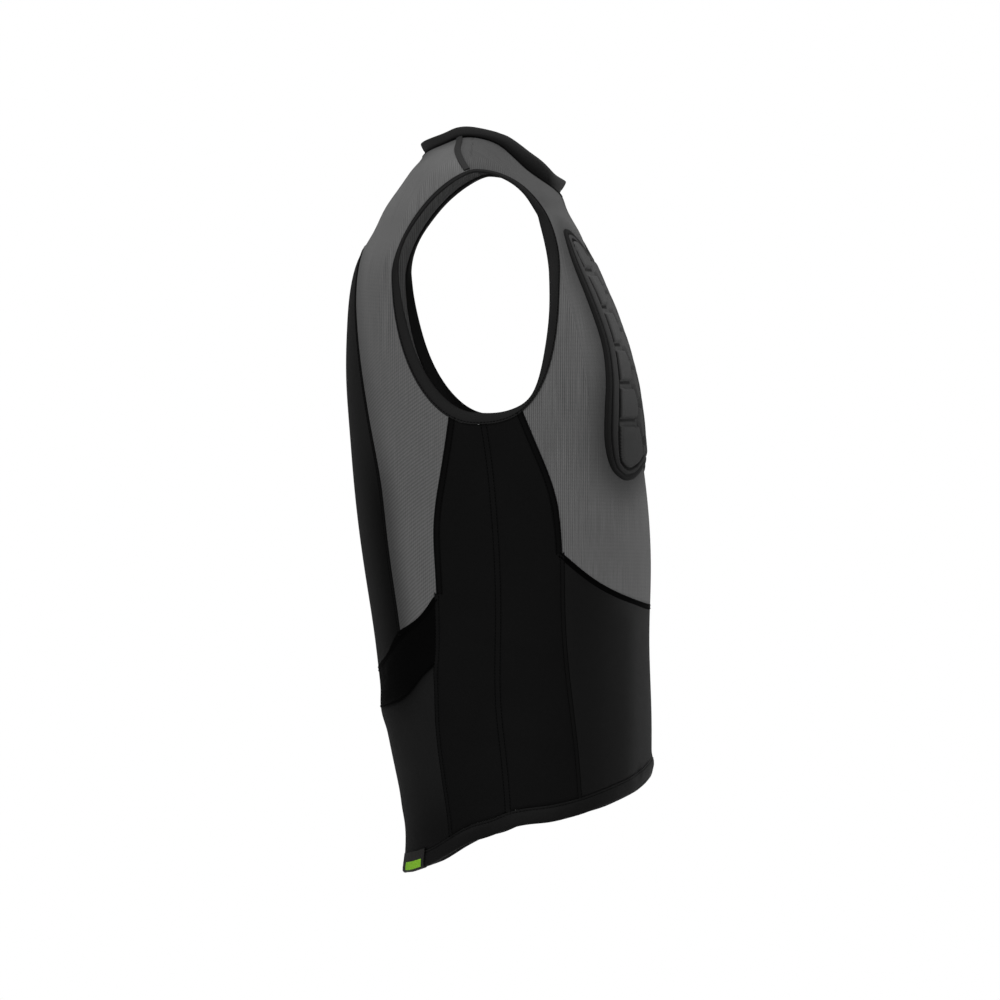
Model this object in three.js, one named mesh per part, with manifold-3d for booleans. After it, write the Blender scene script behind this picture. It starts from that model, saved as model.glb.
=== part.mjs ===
// Sleeveless protective vest with a moulded chest pad, in its worn form.
// Millimetres, +Z up, front towards -Y, wearer's right towards -X.
// The origin lies between the shoulder seams, where the vest sits on the shoulders.
import * as THREE from 'three';
import { mergeVertices } from 'three/addons/utils/BufferGeometryUtils.js';
import Module from 'manifold-3d';

// Thickness of each kind of piece
const MESH_THICKNESS = 1.4;
const PANEL_THICKNESS = 1.2;
const BAND_THICKNESS = 2.6;
const TAPE_THICKNESS = 1.0;

// Clearances: between edges sewn to each other, and under a piece that lies on the cloth
const SEAM_GAP = 0.5;
const SEAT_GAP = 0.5;

// Bands, tapes and tag
// How much of its lift the binding has gained at a share of its reach
const BINDING_BEND = { reach: 0.6, lift: 0.3 };
const HEM_HEIGHT = 16;
const SHOULDER_TAPE_WIDTH = 6;
// Ends of the shoulder tape, as shares of the shoulder seam from the armhole
const TAPE_FROM = 0.02;
const TAPE_TO = 0.97;
const TAG_FROM_TURN = 141;
const TAG_TO_TURN = 165;
const TAG_FOOT_MARGIN = 0.5;
const TAG_HEIGHT = 18;

// Neck hole, an ellipse seen from above
const NECK_HALF_WIDTH = 75;
const NECK_FRONT = 79.2;
const NECK_BACK = 48;
const NECK_LOWEST_Z = -45;
const NECK_HIGHEST_Z = 25;

// Armhole, an egg seen from the side: its widest line, how far ahead of the shoulder line it lies,
// half width, height above and below
const ARMHOLE_Z = -114;
const ARMHOLE_AHEAD = 5.3;
const ARMHOLE_HALF_WIDTH = 79;
const ARMHOLE_RISE = 98;
const ARMHOLE_DROP = 142.5;
const ARMHOLE_SQUARENESS = { front_upper: 2.08, front_lower: 2.7, back_lower: 2.02, back_upper: 1.55 };

// Places on the armhole where seams end, in degrees from its top towards the front
const SHOULDER_ON_ARMHOLE = -5;
const FRONT_SEAM_ON_ARMHOLE = 148;
const SIDE_SEAM_ON_ARMHOLE = 174;
const BACK_SEAM_ON_ARMHOLE = 198;
// Where the shoulder seam meets the neck hole, in degrees from its front
const SHOULDER_ON_NECK = 116.5;

// Where the cross seams meet the side seams
const FRONT_YOKE_Z = -378;
const LUMBAR_TOP_Z = -416;
const LUMBAR_LOW_Z = -482;
// Length over which a side seam is drawn in to its corner on the armhole
const SEAM_FADE = 60;

// Chest pad relief, measured outwards from the back of the pad
const PAD_CELL_TOP = 7.4;
const PAD_CELL_WALL = 5.8;
const PAD_CELL_ROOT = 0.5;
const PAD_CELL_PITCH = 35.4;
const PAD_COLUMN_PITCH = 28.5;
const PAD_GROOVE = 6;
const PAD_BEVEL = 2;
const PAD_COLUMNS = 2;
const PAD_FIRST_ROW = -3;
const PAD_LAST_ROW = 2;
const PAD_ROW_SHIFT = 12.2;
// How far a cell of an outermost column runs on towards the welt
const PAD_EDGE_REACH = 40;
const PAD_FIELD_SCALE = 0.855;
const PAD_CENTRE_Z = -196;
const PAD_SINK_ROOM = 8;

// Number of steps along each edge
const STEPS = {
  shoulder: 7, armhole_front: 17, armhole_under: 3, armhole_back: 14,
  neck_front: 11, front_middle: 12, neck_back: 4, nape: 3,
  front_seam_upper: 6, front_seam_lower: 7, yoke: 7,
  back_seam_upper: 7, back_seam_lumbar: 2, back_seam_lower: 4,
  wing: 7, panel_foot: 4, panel_side: 10, pad: 36,
};

// A smooth table: the first column is the place, the others are read between its rows.
function table(columns, ...rows) {
  const sorted = [...rows].sort((a, b) => a[0] - b[0]);
  const places = sorted.map((row) => row[0]);
  const names = columns.slice(1);
  const curve = new THREE.CubicInterpolant(places, sorted.flatMap((row) => row.slice(1)), names.length);
  return (place) => {
    const values = curve.evaluate(THREE.MathUtils.clamp(place, places[0], places.at(-1)));
    return Object.fromEntries(names.map((name, i) => [name, values[i]]));
  };
}

// Level sections of the worn form. front and back are reaches from the shoulder line, side is how
// far ahead of it the widest point lies, squareness is the outline's exponent, 2 for an ellipse.
const sectionAt = table(
  ['z', 'front', 'back', 'side', 'half_width', 'front_square', 'back_square'],
  [26, 26, 20, 0, 46, 2, 2],
  [16, 32, 29, 0, 73, 2, 2],
  [10.5, 36, 32.5, 0, 91, 2, 2],
  [3, 40, 45, 0.5, 117, 2, 2],
  [-5, 45.5, 51.4, 1, 142, 2, 2],
  [-12.5, 51, 57.9, 2, 161, 2.1, 2.05],
  [-24, 64, 66.4, 3, 173, 2.25, 2.15],
  [-37, 79, 75.5, 3, 176, 2.35, 2.25],
  [-50, 84.6, 84.4, 2.5, 178, 2.4, 2.3],
  [-73, 96.9, 95.8, 2, 180, 2.5, 2.35],
  [-96, 106, 109.1, 2, 181, 2.5, 2.4],
  [-119, 114, 116.7, 3, 182, 2.5, 2.4],
  [-164, 131, 121.5, 5, 181.5, 2.5, 2.4],
  [-210, 145, 122.4, 8, 179, 2.5, 2.4],
  [-256, 152.5, 119.6, 12, 175, 2.5, 2.4],
  [-324, 161.5, 113.9, 17, 167, 2.45, 2.4],
  [-392, 165.3, 105.3, 21.5, 160, 2.4, 2.35],
  [-461, 164, 94.9, 26, 156, 2.35, 2.3],
  [-529, 166, 86.4, 30, 155, 2.3, 2.3],
  [-597, 165.6, 73, 34, 157, 2.3, 2.25],
  [-643, 164.6, 66.2, 36, 158.5, 2.25, 2.2],
  [-690, 163.6, 69.5, 37, 160, 2.2, 2.2],
);

// Soft ridges in the cloth: a line from one place to another, its height and its half width.
const FOLDS = [
  { name: 'lumbar', from: { turn: 120, z: -490 }, to: { turn: 180, z: -530 }, height: 2.5, width: 13 },
  { name: 'belly', from: { turn: 31, z: -450 }, to: { turn: 34, z: -585 }, height: 2, width: 22 },
  { name: 'flank', from: { turn: 64, z: -330 }, to: { turn: 38, z: -372 }, height: 1.5, width: 16 },
];
const MM_PER_DEGREE = 2.75;

// Edges that run down the sides: turn at each height
const frontSeamTurn = table(
  ['z', 'turn'],
  [-245, 73.5], [-281, 69.4], [-308, 66.3], [-350, 64.1], [-420, 64.2], [-500, 63.1], [-560, 61.1],
  [-640, 58.7],
);
const sideSeamTurn = table(
  ['z', 'turn'],
  [-257, 88.6], [-340, 88], [-450, 89.4], [-520, 91.3], [-580, 90.1], [-645, 89.6],
);
const backSeamTurn = table(
  ['z', 'turn'],
  [-250, 102.7], [-308, 109.1], [-351, 113.1], [-395, 114.5], [-470, 117.5], [-537, 120.9], [-665, 120.8],
);

// Edges that run across: height at each turn
const hemAt = table(
  ['turn', 'z'],
  [-17.2, -593.3], [0, -587.5], [17.2, -593.3], [30, -602.6], [39.8, -610.3], [57.8, -624], [72.6, -632],
  [88.3, -637.6], [97, -644], [108.8, -650.3], [120.8, -660.7], [131, -670.4], [140.8, -676],
  [156.8, -680], [180, -681], [203.2, -680],
);
const yokeAt = table(
  ['turn', 'z'],
  [-22.4, -424.6], [0, -427], [22.4, -424.6], [40.9, -415], [54, -399], [64.1, FRONT_YOKE_Z],
);
const lumbarTopAt = table(
  ['turn', 'z'],
  [115.3, LUMBAR_TOP_Z], [123.2, -436], [136.6, -456], [148.8, -473], [158.8, -481], [180, -486],
  [201.2, -481],
);
const lumbarLowAt = table(
  ['turn', 'z'],
  [118.2, LUMBAR_LOW_Z], [125.2, -493], [131.6, -505], [140.8, -516], [148.8, -520], [180, -523],
  [211.2, -520],
);

// Edge of the centre back panel, from the middle of its arched top down to its lower corner
const PANEL_CORNER_TURN = 136.6;
const PANEL_ARCH_SHARE = 0.13;
const backPanelEdge = table(
  ['share', 'turn', 'z'],
  [-0.05, 189.4, -87.5], [0, 180, -86], [0.05, 170.6, -87.5], [0.09, 163.9, -92],
  [PANEL_ARCH_SHARE, 158.6, -100], [0.19, 154.2, -119], [0.28, 149.4, -157], [0.42, 143.3, -214],
  [0.53, 140, -261], [0.63, 136.9, -305], [0.76, 136.4, -356], [1, PANEL_CORNER_TURN, -456],
);

// Collar band: how far it rises and leans outwards round the neck, from the front
const collarAt = table(
  ['angle', 'rise', 'lean'],
  [-20, 10.8, 5.8], [0, 11.5, 6.5], [20, 10.8, 5.8], [32, 11.4, 4.8], [44, 15.6, 3.6], [52, 16.7, 3],
  [60, 16.2, 2.4], [75, 13.2, 1], [90, 9.8, 0], [112, 9.6, 0.7], [135, 10.3, 2], [180, 10, 4.5],
  [225, 10.3, 2],
);

// Binding: how far its free edge reaches into the armhole and lifts out of the cloth, from the
// armhole's top towards the front. It flares over the shoulder and rolls in elsewhere.
const bindingAt = table(
  ['angle', 'reach', 'lift'],
  [-25, 9, 2.1], [-10, 9, 1.8], [0, 9, 1.7], [10, 9, 1.9], [20, 9, 0.6], [30, 9, -0.7], [45, 9.5, -2.2],
  [60, 9.3, -6.3], [80, 9, -7.4], [95, 9, -4.6], [108, 9.3, -2], [120, 8.3, -1.7], [130, 5.5, -2.6],
  [140, 3.5, -4], [150, 6.4, -3.2], [160, 8.8, -2.8], [175, 10.6, -3.4], [190, 11.4, -4], [210, 11.2, -5.4],
  [225, 10.6, -6.2], [240, 9.6, -6.2], [252, 9, -5.4], [262, 8.8, -3], [272, 8.5, -1], [282, 8, 1],
  [292, 8, 1.7], [302, 8.2, 2], [312, 8.5, 1.9], [322, 9, 1.4], [335, 9, 2.1], [350, 9, 1.8], [360, 9, 1.7],
  [370, 9, 1.9],
);

// Outline of the chest pad, one half from its scooped top round to its lobed foot
const PAD_OUTLINE = [
  { turn: 0, z: -93 }, { turn: 10.9, z: -89.5 }, { turn: 20.8, z: -80 }, { turn: 28.8, z: -72 },
  { turn: 34.3, z: -75 }, { turn: 35.4, z: -94 }, { turn: 33.2, z: -135 }, { turn: 32.9, z: -178 },
  { turn: 35.9, z: -210 }, { turn: 39.9, z: -243 }, { turn: 42.1, z: -275 }, { turn: 40.2, z: -298 },
  { turn: 34.1, z: -308.5 }, { turn: 26.3, z: -308 }, { turn: 16.8, z: -302 }, { turn: 8.2, z: -297 },
  { turn: 0, z: -295.5 },
];
// Rings of the pad's back, from its middle outwards, as scales of the outline
const PAD_BACK_SCALES = [0.5, 1];
// Welt round the pad, from its rim inwards: scale of the outline and height
const PAD_WELT = [
  { scale: 1, height: 1.8 }, { scale: 0.985, height: 3 }, { scale: 0.945, height: 3 },
  { scale: 0.93, height: 2 }, { scale: 0.9, height: 5 }, { scale: 0.865, height: 2.6 },
  { scale: 0.55, height: 4 }, { scale: 0.28, height: 4 },
];

// Colours and finishes
const finish = (color, roughness) => new THREE.MeshStandardMaterial({ color, roughness, metalness: 0 });
const GREY_MESH = finish(0x5a5a5a, 0.85);
const BLACK_JERSEY = finish(0x121212, 0.6);
const CHARCOAL_JERSEY = finish(0x1b1b1b, 0.6);
const BAND_CLOTH = finish(0x222222, 0.75);
const PAD_FOAM = finish(0x383838, 0.7);
const TAG_WEAVE = finish(0x78c828, 0.7);

const radians = THREE.MathUtils.degToRad;
const degrees = THREE.MathUtils.radToDeg;
const up = new THREE.Vector3(0, 0, 1);
const mirrored = ({ turn, z }) => ({ turn: -turn, z });
const mixed = (a, b, share) => ({
  turn: THREE.MathUtils.lerp(a.turn, b.turn, share),
  z: THREE.MathUtils.lerp(a.z, b.z, share),
});
// steps + 1 places of a curve, from one value of its parameter to another
const along = (steps, from, to, curve) => (
  Array.from({ length: steps + 1 }, (_, i) => curve(THREE.MathUtils.lerp(from, to, i / steps)))
);
// Edges set end to end, each starting where the last one stopped
const joined = (...edges) => edges.flatMap((edge, i) => (i === 0 ? edge : edge.slice(1)));

// Height of the soft folds at a place
function foldAt(turn, z) {
  const turned = 180 - Math.abs(180 - Math.abs(turn));
  let height = 0;
  for (const fold of FOLDS) {
    const run = { turn: (fold.to.turn - fold.from.turn) * MM_PER_DEGREE, z: fold.to.z - fold.from.z };
    const from = { turn: (turned - fold.from.turn) * MM_PER_DEGREE, z: z - fold.from.z };
    const share = (from.turn * run.turn + from.z * run.z) / (run.turn ** 2 + run.z ** 2);
    const near = THREE.MathUtils.clamp(share, 0, 1);
    const away = Math.hypot(from.turn - near * run.turn, from.z - near * run.z);
    height += fold.height * Math.exp(-((away / fold.width) ** 2));
  }
  return height;
}

// A point of the worn form: turn is 0 at the centre front, 90 at the wearer's right, 180 at the back
function bodyPoint(turn, z) {
  const form = sectionAt(z);
  const sine = Math.sin(radians(turn));
  const cosine = Math.cos(radians(turn));
  const square = cosine >= 0 ? form.front_square : form.back_square;
  const depth = cosine >= 0 ? form.front - form.side : form.back + form.side;
  const reach = (Math.abs(sine) ** square + Math.abs(cosine) ** square) ** (-1 / square);
  return new THREE.Vector3(-form.half_width * reach * sine, -form.side - depth * reach * cosine, z);
}

// Outward direction of the worn form
function bodyNormal(turn, z) {
  const step = 0.5;
  const around = bodyPoint(turn + step, z).sub(bodyPoint(turn - step, z));
  const upward = bodyPoint(turn, z + step).sub(bodyPoint(turn, z - step));
  return upward.cross(around).normalize();
}

// A point at a lift outside the middle of the cloth
function onBody({ turn, z }, lift = 0) {
  return bodyPoint(turn, z).addScaledVector(bodyNormal(turn, z), lift + foldAt(turn, z));
}

// The turn, on the wearer's right, of the point at a height and a depth
function turnAtDepth(y, z) {
  const form = sectionAt(z);
  const ahead = -y - form.side;
  const square = ahead >= 0 ? form.front_square : form.back_square;
  const depth = ahead >= 0 ? form.front - form.side : form.back + form.side;
  const cosine = THREE.MathUtils.clamp(ahead / depth, -1, 1);
  const sine = (1 - Math.abs(cosine) ** square) ** (1 / square);
  return degrees(Math.atan2(sine, cosine));
}

// A place on the armhole's edge, the angle counted from its top towards the front
function armholeSpot(angle) {
  const ahead = Math.sin(radians(angle));
  const above = Math.cos(radians(angle));
  const quarter = `${ahead >= 0 ? 'front' : 'back'}_${above >= 0 ? 'upper' : 'lower'}`;
  const square = ARMHOLE_SQUARENESS[quarter];
  const reach = (Math.abs(ahead) ** square + Math.abs(above) ** square) ** (-1 / square);
  const z = ARMHOLE_Z + (above >= 0 ? ARMHOLE_RISE : ARMHOLE_DROP) * reach * above;
  return { turn: turnAtDepth(-ARMHOLE_AHEAD - ARMHOLE_HALF_WIDTH * reach * ahead, z), z };
}

// A place on the neck edge: the ellipse is carried straight down until it meets the worn form
function neckSpot(angle) {
  const x = NECK_HALF_WIDTH * Math.sin(radians(angle));
  const middle = (NECK_FRONT - NECK_BACK) / 2;
  const y = -middle - ((NECK_FRONT + NECK_BACK) / 2) * Math.cos(radians(angle));
  const spotAt = (z) => ({ turn: turnAtDepth(y, z), z });
  let low = NECK_LOWEST_Z;
  let high = NECK_HIGHEST_Z;
  for (let halving = 0; halving < 40; halving += 1) {
    const z = (low + high) / 2;
    const form = sectionAt(z);
    const outside = -y > form.front || y > form.back || -bodyPoint(spotAt(z).turn, z).x < x;
    if (outside) high = z;
    else low = z;
  }
  return spotAt(low);
}

// A side seam from the armhole to the hem, drawn in to its corner on the armhole
function sideSeam(turnTable, corner) {
  const miss = corner.turn - turnTable(corner.z).turn;
  const spotAt = (z) => {
    const fade = Math.max(0, 1 - (corner.z - z) / SEAM_FADE) ** 2;
    return { turn: turnTable(z).turn + miss * fade, z };
  };
  let foot = hemAt(turnTable(LUMBAR_LOW_Z).turn).z + HEM_HEIGHT;
  for (let i = 0; i < 12; i += 1) foot = hemAt(spotAt(foot).turn).z + HEM_HEIGHT;
  return { corner, foot: spotAt(foot), spotAt };
}

// A patch between four edges: foot and head run the same way, and so do the two sides
function patch(foot, head, sideA, sideB) {
  const last = foot.length - 1;
  const top = sideA.length - 1;
  return foot.map((_, i) => sideA.map((__, j) => {
    const u = i / last;
    const v = j / top;
    const between = (k, key) => (1 - v) * foot[k][key] + v * head[k][key];
    const place = (key) => (
      between(i, key) + (1 - u) * (sideA[j][key] - between(0, key)) + u * (sideB[j][key] - between(last, key))
    );
    return { turn: place('turn'), z: place('z') };
  }));
}

// A closed geometry from points and faces, turned so that its faces point out
function closedGeometry(points, faces) {
  let volume = 0;
  for (const [a, b, c] of faces) {
    volume += points[a].dot(new THREE.Vector3().crossVectors(points[b], points[c]));
  }
  const outward = volume >= 0 ? faces : faces.map(([a, b, c]) => [a, c, b]);
  const geometry = new THREE.BufferGeometry();
  geometry.setAttribute('position', new THREE.Float32BufferAttribute(points.flatMap((p) => p.toArray()), 3));
  geometry.setIndex(outward.flat());
  return geometry;
}

// A grid of points on each face of a wall, closed along its four edges
function wall(outer, inner) {
  const columns = outer.length;
  const rows = outer[0].length;
  const points = [...outer.flat(), ...inner.flat()];
  const out = (i, j) => i * rows + j;
  const within = (i, j) => columns * rows + i * rows + j;
  const faces = [];
  const quad = (a, b, c, d) => faces.push([a, b, c], [a, c, d]);
  for (let i = 0; i < columns - 1; i += 1) {
    for (let j = 0; j < rows - 1; j += 1) {
      quad(out(i, j), out(i, j + 1), out(i + 1, j + 1), out(i + 1, j));
      quad(within(i, j), within(i + 1, j), within(i + 1, j + 1), within(i, j + 1));
    }
    quad(out(i, 0), out(i + 1, 0), within(i + 1, 0), within(i, 0));
    quad(out(i, rows - 1), within(i, rows - 1), within(i + 1, rows - 1), out(i + 1, rows - 1));
  }
  for (let j = 0; j < rows - 1; j += 1) {
    quad(out(0, j), within(0, j), within(0, j + 1), out(0, j + 1));
    quad(out(columns - 1, j), out(columns - 1, j + 1), within(columns - 1, j + 1), within(columns - 1, j));
  }
  return closedGeometry(points, faces);
}

// A closed loop of like sections, each a ring of points
function loopOf(sections) {
  const size = sections[0].length;
  const points = sections.flat();
  const faces = [];
  sections.forEach((_, i) => {
    const next = (i + 1) % sections.length;
    for (let k = 0; k < size; k += 1) {
      const beside = (k + 1) % size;
      const [a, b] = [i * size + k, i * size + beside];
      const [c, d] = [next * size + beside, next * size + k];
      faces.push([a, b, c], [a, c, d]);
    }
  });
  return closedGeometry(points, faces);
}

// A panel of cloth on the worn form, between two lifts from its middle surface. Grids that share
// an edge are one cloth, and its rim is drawn in.
function clothWall(grids, outerLift, innerLift = -outerLift) {
  const spots = [];
  const known = new Map();
  const indexOf = (spot) => {
    const key = `${Math.round(spot.turn * 1000)} ${Math.round(spot.z * 1000)}`;
    if (!known.has(key)) known.set(key, spots.push(spot) - 1);
    return known.get(key);
  };
  const quadsOf = (grid) => grid.slice(1).flatMap((column, i) => column.slice(1).map((spot, j) => (
    [grid[i][j], grid[i][j + 1], spot, column[j]].map(indexOf)
  )));
  const quads = grids.flatMap(quadsOf);
  const rim = new Map();
  for (const quad of quads) {
    quad.forEach((start, k) => {
      const end = quad[(k + 1) % 4];
      const back = `${end} ${start}`;
      if (rim.has(back)) rim.delete(back);
      else rim.set(`${start} ${end}`, { start, end, inside: quad[(k + 2) % 4] });
    });
  }
  const middle = spots.map((spot) => onBody(spot));
  const normals = spots.map((spot) => bodyNormal(spot.turn, spot.z));
  const drawIn = spots.map(() => new THREE.Vector3());
  for (const { start, end, inside } of rim.values()) {
    const edge = middle[end].clone().sub(middle[start]).normalize();
    const inward = middle[inside].clone().sub(middle[end]);
    inward.addScaledVector(edge, -inward.dot(edge)).normalize();
    for (const corner of [start, end]) drawIn[corner].add(inward);
  }
  // Where two edges meet, both are cleared by the same gap
  const trimmed = middle.map((point, i) => {
    const pull = drawIn[i].lengthSq();
    return pull > 0 ? point.clone().addScaledVector(drawIn[i], SEAM_GAP / Math.max(pull, 1)) : point;
  });
  const face = (lift) => trimmed.map((point, i) => point.clone().addScaledVector(normals[i], lift));
  const count = spots.length;
  const faces = quads.flatMap(([a, b, c, d]) => [
    [a, b, c], [a, c, d], [count + a, count + c, count + b], [count + a, count + d, count + c],
  ]);
  for (const { start, end } of rim.values()) {
    faces.push([start, count + end, end], [start, count + start, count + end]);
  }
  return closedGeometry([...face(outerLift), ...face(innerLift)], faces);
}

// Directions at each place of an edge: along it, out of the cloth, and across it
function edgeFrames(spots, closed) {
  const count = spots.length;
  return spots.map((spot, i) => {
    const before = closed ? spots[(i + count - 1) % count] : spots[Math.max(i - 1, 0)];
    const after = closed ? spots[(i + 1) % count] : spots[Math.min(i + 1, count - 1)];
    const tangent = onBody(after).sub(onBody(before)).normalize();
    const normal = bodyNormal(spot.turn, spot.z);
    return { point: onBody(spot), normal, across: tangent.cross(normal).normalize() };
  });
}

// Binding: a band from the armhole's edge into the hole, bent from the cloth to its free edge
function bindingWall(edge, angles, intoHole) {
  const half = BAND_THICKNESS / 2;
  return loopOf(edgeFrames(edge, true).map(({ point, normal, across }, i) => {
    const at = (inward, height) => (
      point.clone().addScaledVector(across, intoHole * inward).addScaledVector(normal, height)
    );
    const { reach, lift } = bindingAt(angles[i]);
    const bend = reach * BINDING_BEND.reach;
    const bent = lift * BINDING_BEND.lift;
    return [
      at(SEAM_GAP / 2, half), at(bend, bent + half), at(reach, lift + half),
      at(reach, lift - half), at(bend, bent - half), at(SEAM_GAP / 2, -half),
    ];
  }));
}

// Collar: a band that stands on the neck edge
function collarWall(angles) {
  const half = BAND_THICKNESS / 2;
  const edge = angles.map((angle) => (angle <= 180 ? neckSpot(angle) : mirrored(neckSpot(360 - angle))));
  return loopOf(edgeFrames(edge, true).map(({ point, across }, i) => {
    const { rise, lean } = collarAt(angles[i] <= 180 ? angles[i] : 360 - angles[i]);
    const plan = new THREE.Vector3(-Math.sin(radians(angles[i])), -Math.cos(radians(angles[i])), 0);
    const climb = up.clone().multiplyScalar(rise).addScaledVector(plan, lean);
    const inward = across.dot(climb) > 0 ? across : across.clone().negate();
    const face = climb.clone().cross(plan.clone().cross(up)).normalize();
    const outward = face.dot(plan) >= 0 ? face : face.negate();
    const clear = SEAM_GAP / 2 + half * Math.max(0, -outward.dot(inward));
    const root = point.clone().addScaledVector(inward, clear);
    const at = (share, lift) => root.clone().addScaledVector(climb, share).addScaledVector(outward, lift);
    return [at(0, half), at(0.5, half), at(1, half), at(1, -half), at(0.5, -half), at(0, -half)];
  }));
}

// Hem: a band round the foot of the vest
function hemWall(turns) {
  const half = BAND_THICKNESS / 2;
  return loopOf(turns.map((turn) => {
    const foot = hemAt(Math.abs(turn)).z;
    const at = (height, lift) => onBody({ turn, z: foot + height }, lift);
    const head = HEM_HEIGHT - SEAM_GAP / 2;
    return [at(head, half), at(0, half), at(0, -half), at(head, -half)];
  }));
}

// A flat strip that lies on the cloth along an edge, stopped short of both its ends
function stripWall(edge, width, lift) {
  const frames = edgeFrames(edge, false);
  const face = (height) => frames.map(({ point, normal, across }) => [-1, 0, 1].map((side) => (
    point.clone().addScaledVector(normal, height).addScaledVector(across, side * width / 2)
  )));
  return wall(face(lift + TAPE_THICKNESS), face(lift));
}

// The chest pad: a welted slab with a field of raised six-sided cells
const wasm = await Module();
wasm.setup();

function solidOf(geometry) {
  const merged = mergeVertices(geometry);
  return new wasm.Manifold(new wasm.Mesh({
    numProp: 3,
    vertProperties: new Float32Array(merged.attributes.position.array),
    triVerts: new Uint32Array(merged.index.array),
  }));
}

function geometryOf(solid) {
  const mesh = solid.getMesh();
  const geometry = new THREE.BufferGeometry();
  geometry.setAttribute('position', new THREE.BufferAttribute(new Float32Array(mesh.vertProperties), 3));
  geometry.setIndex(new THREE.BufferAttribute(new Uint32Array(mesh.triVerts), 1));
  return geometry;
}

const padBack = MESH_THICKNESS / 2;
const padCentre = { turn: 0, z: PAD_CENTRE_Z };

// The pad's outline as a smooth closed loop
function padOutline() {
  const half = PAD_OUTLINE.map(({ turn, z }) => new THREE.Vector3(turn, z, 0));
  const other = half.slice(1, -1).reverse().map((p) => new THREE.Vector3(-p.x, p.y, 0));
  const loop = new THREE.CatmullRomCurve3([...half, ...other], true, 'centripetal');
  return loop.getSpacedPoints(STEPS.pad).slice(0, -1).map((p) => ({ turn: p.x, z: p.y }));
}

// A dome of rings: rings of places and heights, closed by a middle point on each face
function padSolid(rings, topHeight, bottomHeight) {
  const size = rings[0].length;
  const middles = [onBody(padCentre, padBack + topHeight), onBody(padCentre, padBack + bottomHeight)];
  const points = [...rings.flat(), ...middles];
  const last = rings.length - 1;
  const faces = [];
  for (let k = 0; k < size; k += 1) {
    const next = (k + 1) % size;
    for (let r = 0; r < last; r += 1) {
      const [a, b, c, d] = [r * size + k, r * size + next, (r + 1) * size + next, (r + 1) * size + k];
      faces.push([a, b, c], [a, c, d]);
    }
    faces.push([last * size + k, last * size + next, rings.length * size]);
    faces.push([next, k, rings.length * size + 1]);
  }
  return solidOf(closedGeometry(points, faces));
}

function padSlab(outline) {
  const ring = (scale, height) => outline.map((spot) => (
    onBody(mixed(padCentre, spot, scale), padBack + height)
  ));
  const back = PAD_BACK_SCALES.map((scale) => ring(scale, 0));
  const front = PAD_WELT.map(({ scale, height }) => ring(scale, height));
  return padSolid([...back, ...front], PAD_WELT.at(-1).height, 0);
}

// The room inside the welt, where the cells stand
function padField(outline) {
  const ring = (height) => outline.map((spot) => (
    onBody(mixed(padCentre, spot, PAD_FIELD_SCALE), padBack + height)
  ));
  return padSolid([ring(PAD_CELL_ROOT / 2), ring(PAD_CELL_TOP * 2)], PAD_CELL_TOP * 2, PAD_CELL_ROOT / 2);
}

// Corners of a cell about its middle: six of them, or straight on to the welt in an outermost column
function cellCorners(column, radius) {
  if (Math.abs(column) < PAD_COLUMNS) {
    return along(5, 0, 300, (angle) => ({
      across: radius * Math.cos(radians(angle)),
      z: radius * Math.sin(radians(angle)),
    }));
  }
  const outward = Math.sign(column);
  const half = radius * Math.sqrt(3) / 2;
  const reaches = [-radius / 2, radius / 2, (radius + PAD_EDGE_REACH) / 2, radius / 2 + PAD_EDGE_REACH];
  return [
    { across: -outward * radius, z: 0 },
    ...reaches.map((reach) => ({ across: outward * reach, z: half })),
    ...reaches.reverse().map((reach) => ({ across: outward * reach, z: -half })),
  ];
}

// One cell: a block with a bevelled top
function padCell(column, row) {
  const offset = column % 2 === 0 ? PAD_CELL_PITCH / 2 : 0;
  const middle = {
    across: column * PAD_COLUMN_PITCH,
    z: PAD_CENTRE_Z + PAD_ROW_SHIFT + row * PAD_CELL_PITCH + offset,
  };
  const radius = (PAD_CELL_PITCH - PAD_GROOVE) / Math.sqrt(3);
  const place = ({ across, z }, height) => onBody(
    { turn: (middle.across + across) / MM_PER_DEGREE, z: middle.z + z }, padBack + height,
  );
  const ring = (size, height) => cellCorners(column, size).map((corner) => place(corner, height));
  const rings = [
    ring(radius, PAD_CELL_ROOT), ring(radius, PAD_CELL_WALL), ring(radius - PAD_BEVEL, PAD_CELL_TOP),
  ];
  const corners = cellCorners(column, radius);
  const size = corners.length;
  const heart = { across: corners.reduce((sum, corner) => sum + corner.across, 0) / size, z: 0 };
  const points = [...rings.flat(), place(heart, PAD_CELL_TOP), place(heart, PAD_CELL_ROOT)];
  const faces = [];
  for (let k = 0; k < size; k += 1) {
    const next = (k + 1) % size;
    for (const r of [0, size]) {
      faces.push([r + k, r + next, r + size + next], [r + k, r + size + next, r + size + k]);
    }
    faces.push([2 * size + k, 2 * size + next, 3 * size], [next, k, 3 * size + 1]);
  }
  return solidOf(closedGeometry(points, faces));
}

// The pad's back is cut to lie on the cloth that carries it
function chestPad(carrier) {
  const outline = padOutline();
  const field = padField(outline);
  let pad = padSlab(outline);
  for (let column = -PAD_COLUMNS; column <= PAD_COLUMNS; column += 1) {
    for (let row = PAD_FIRST_ROW; row <= PAD_LAST_ROW; row += 1) {
      const cell = padCell(column, row).intersect(field);
      if (!cell.isEmpty()) pad = pad.add(cell);
    }
  }
  return geometryOf(pad.subtract(solidOf(carrier)));
}

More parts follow.
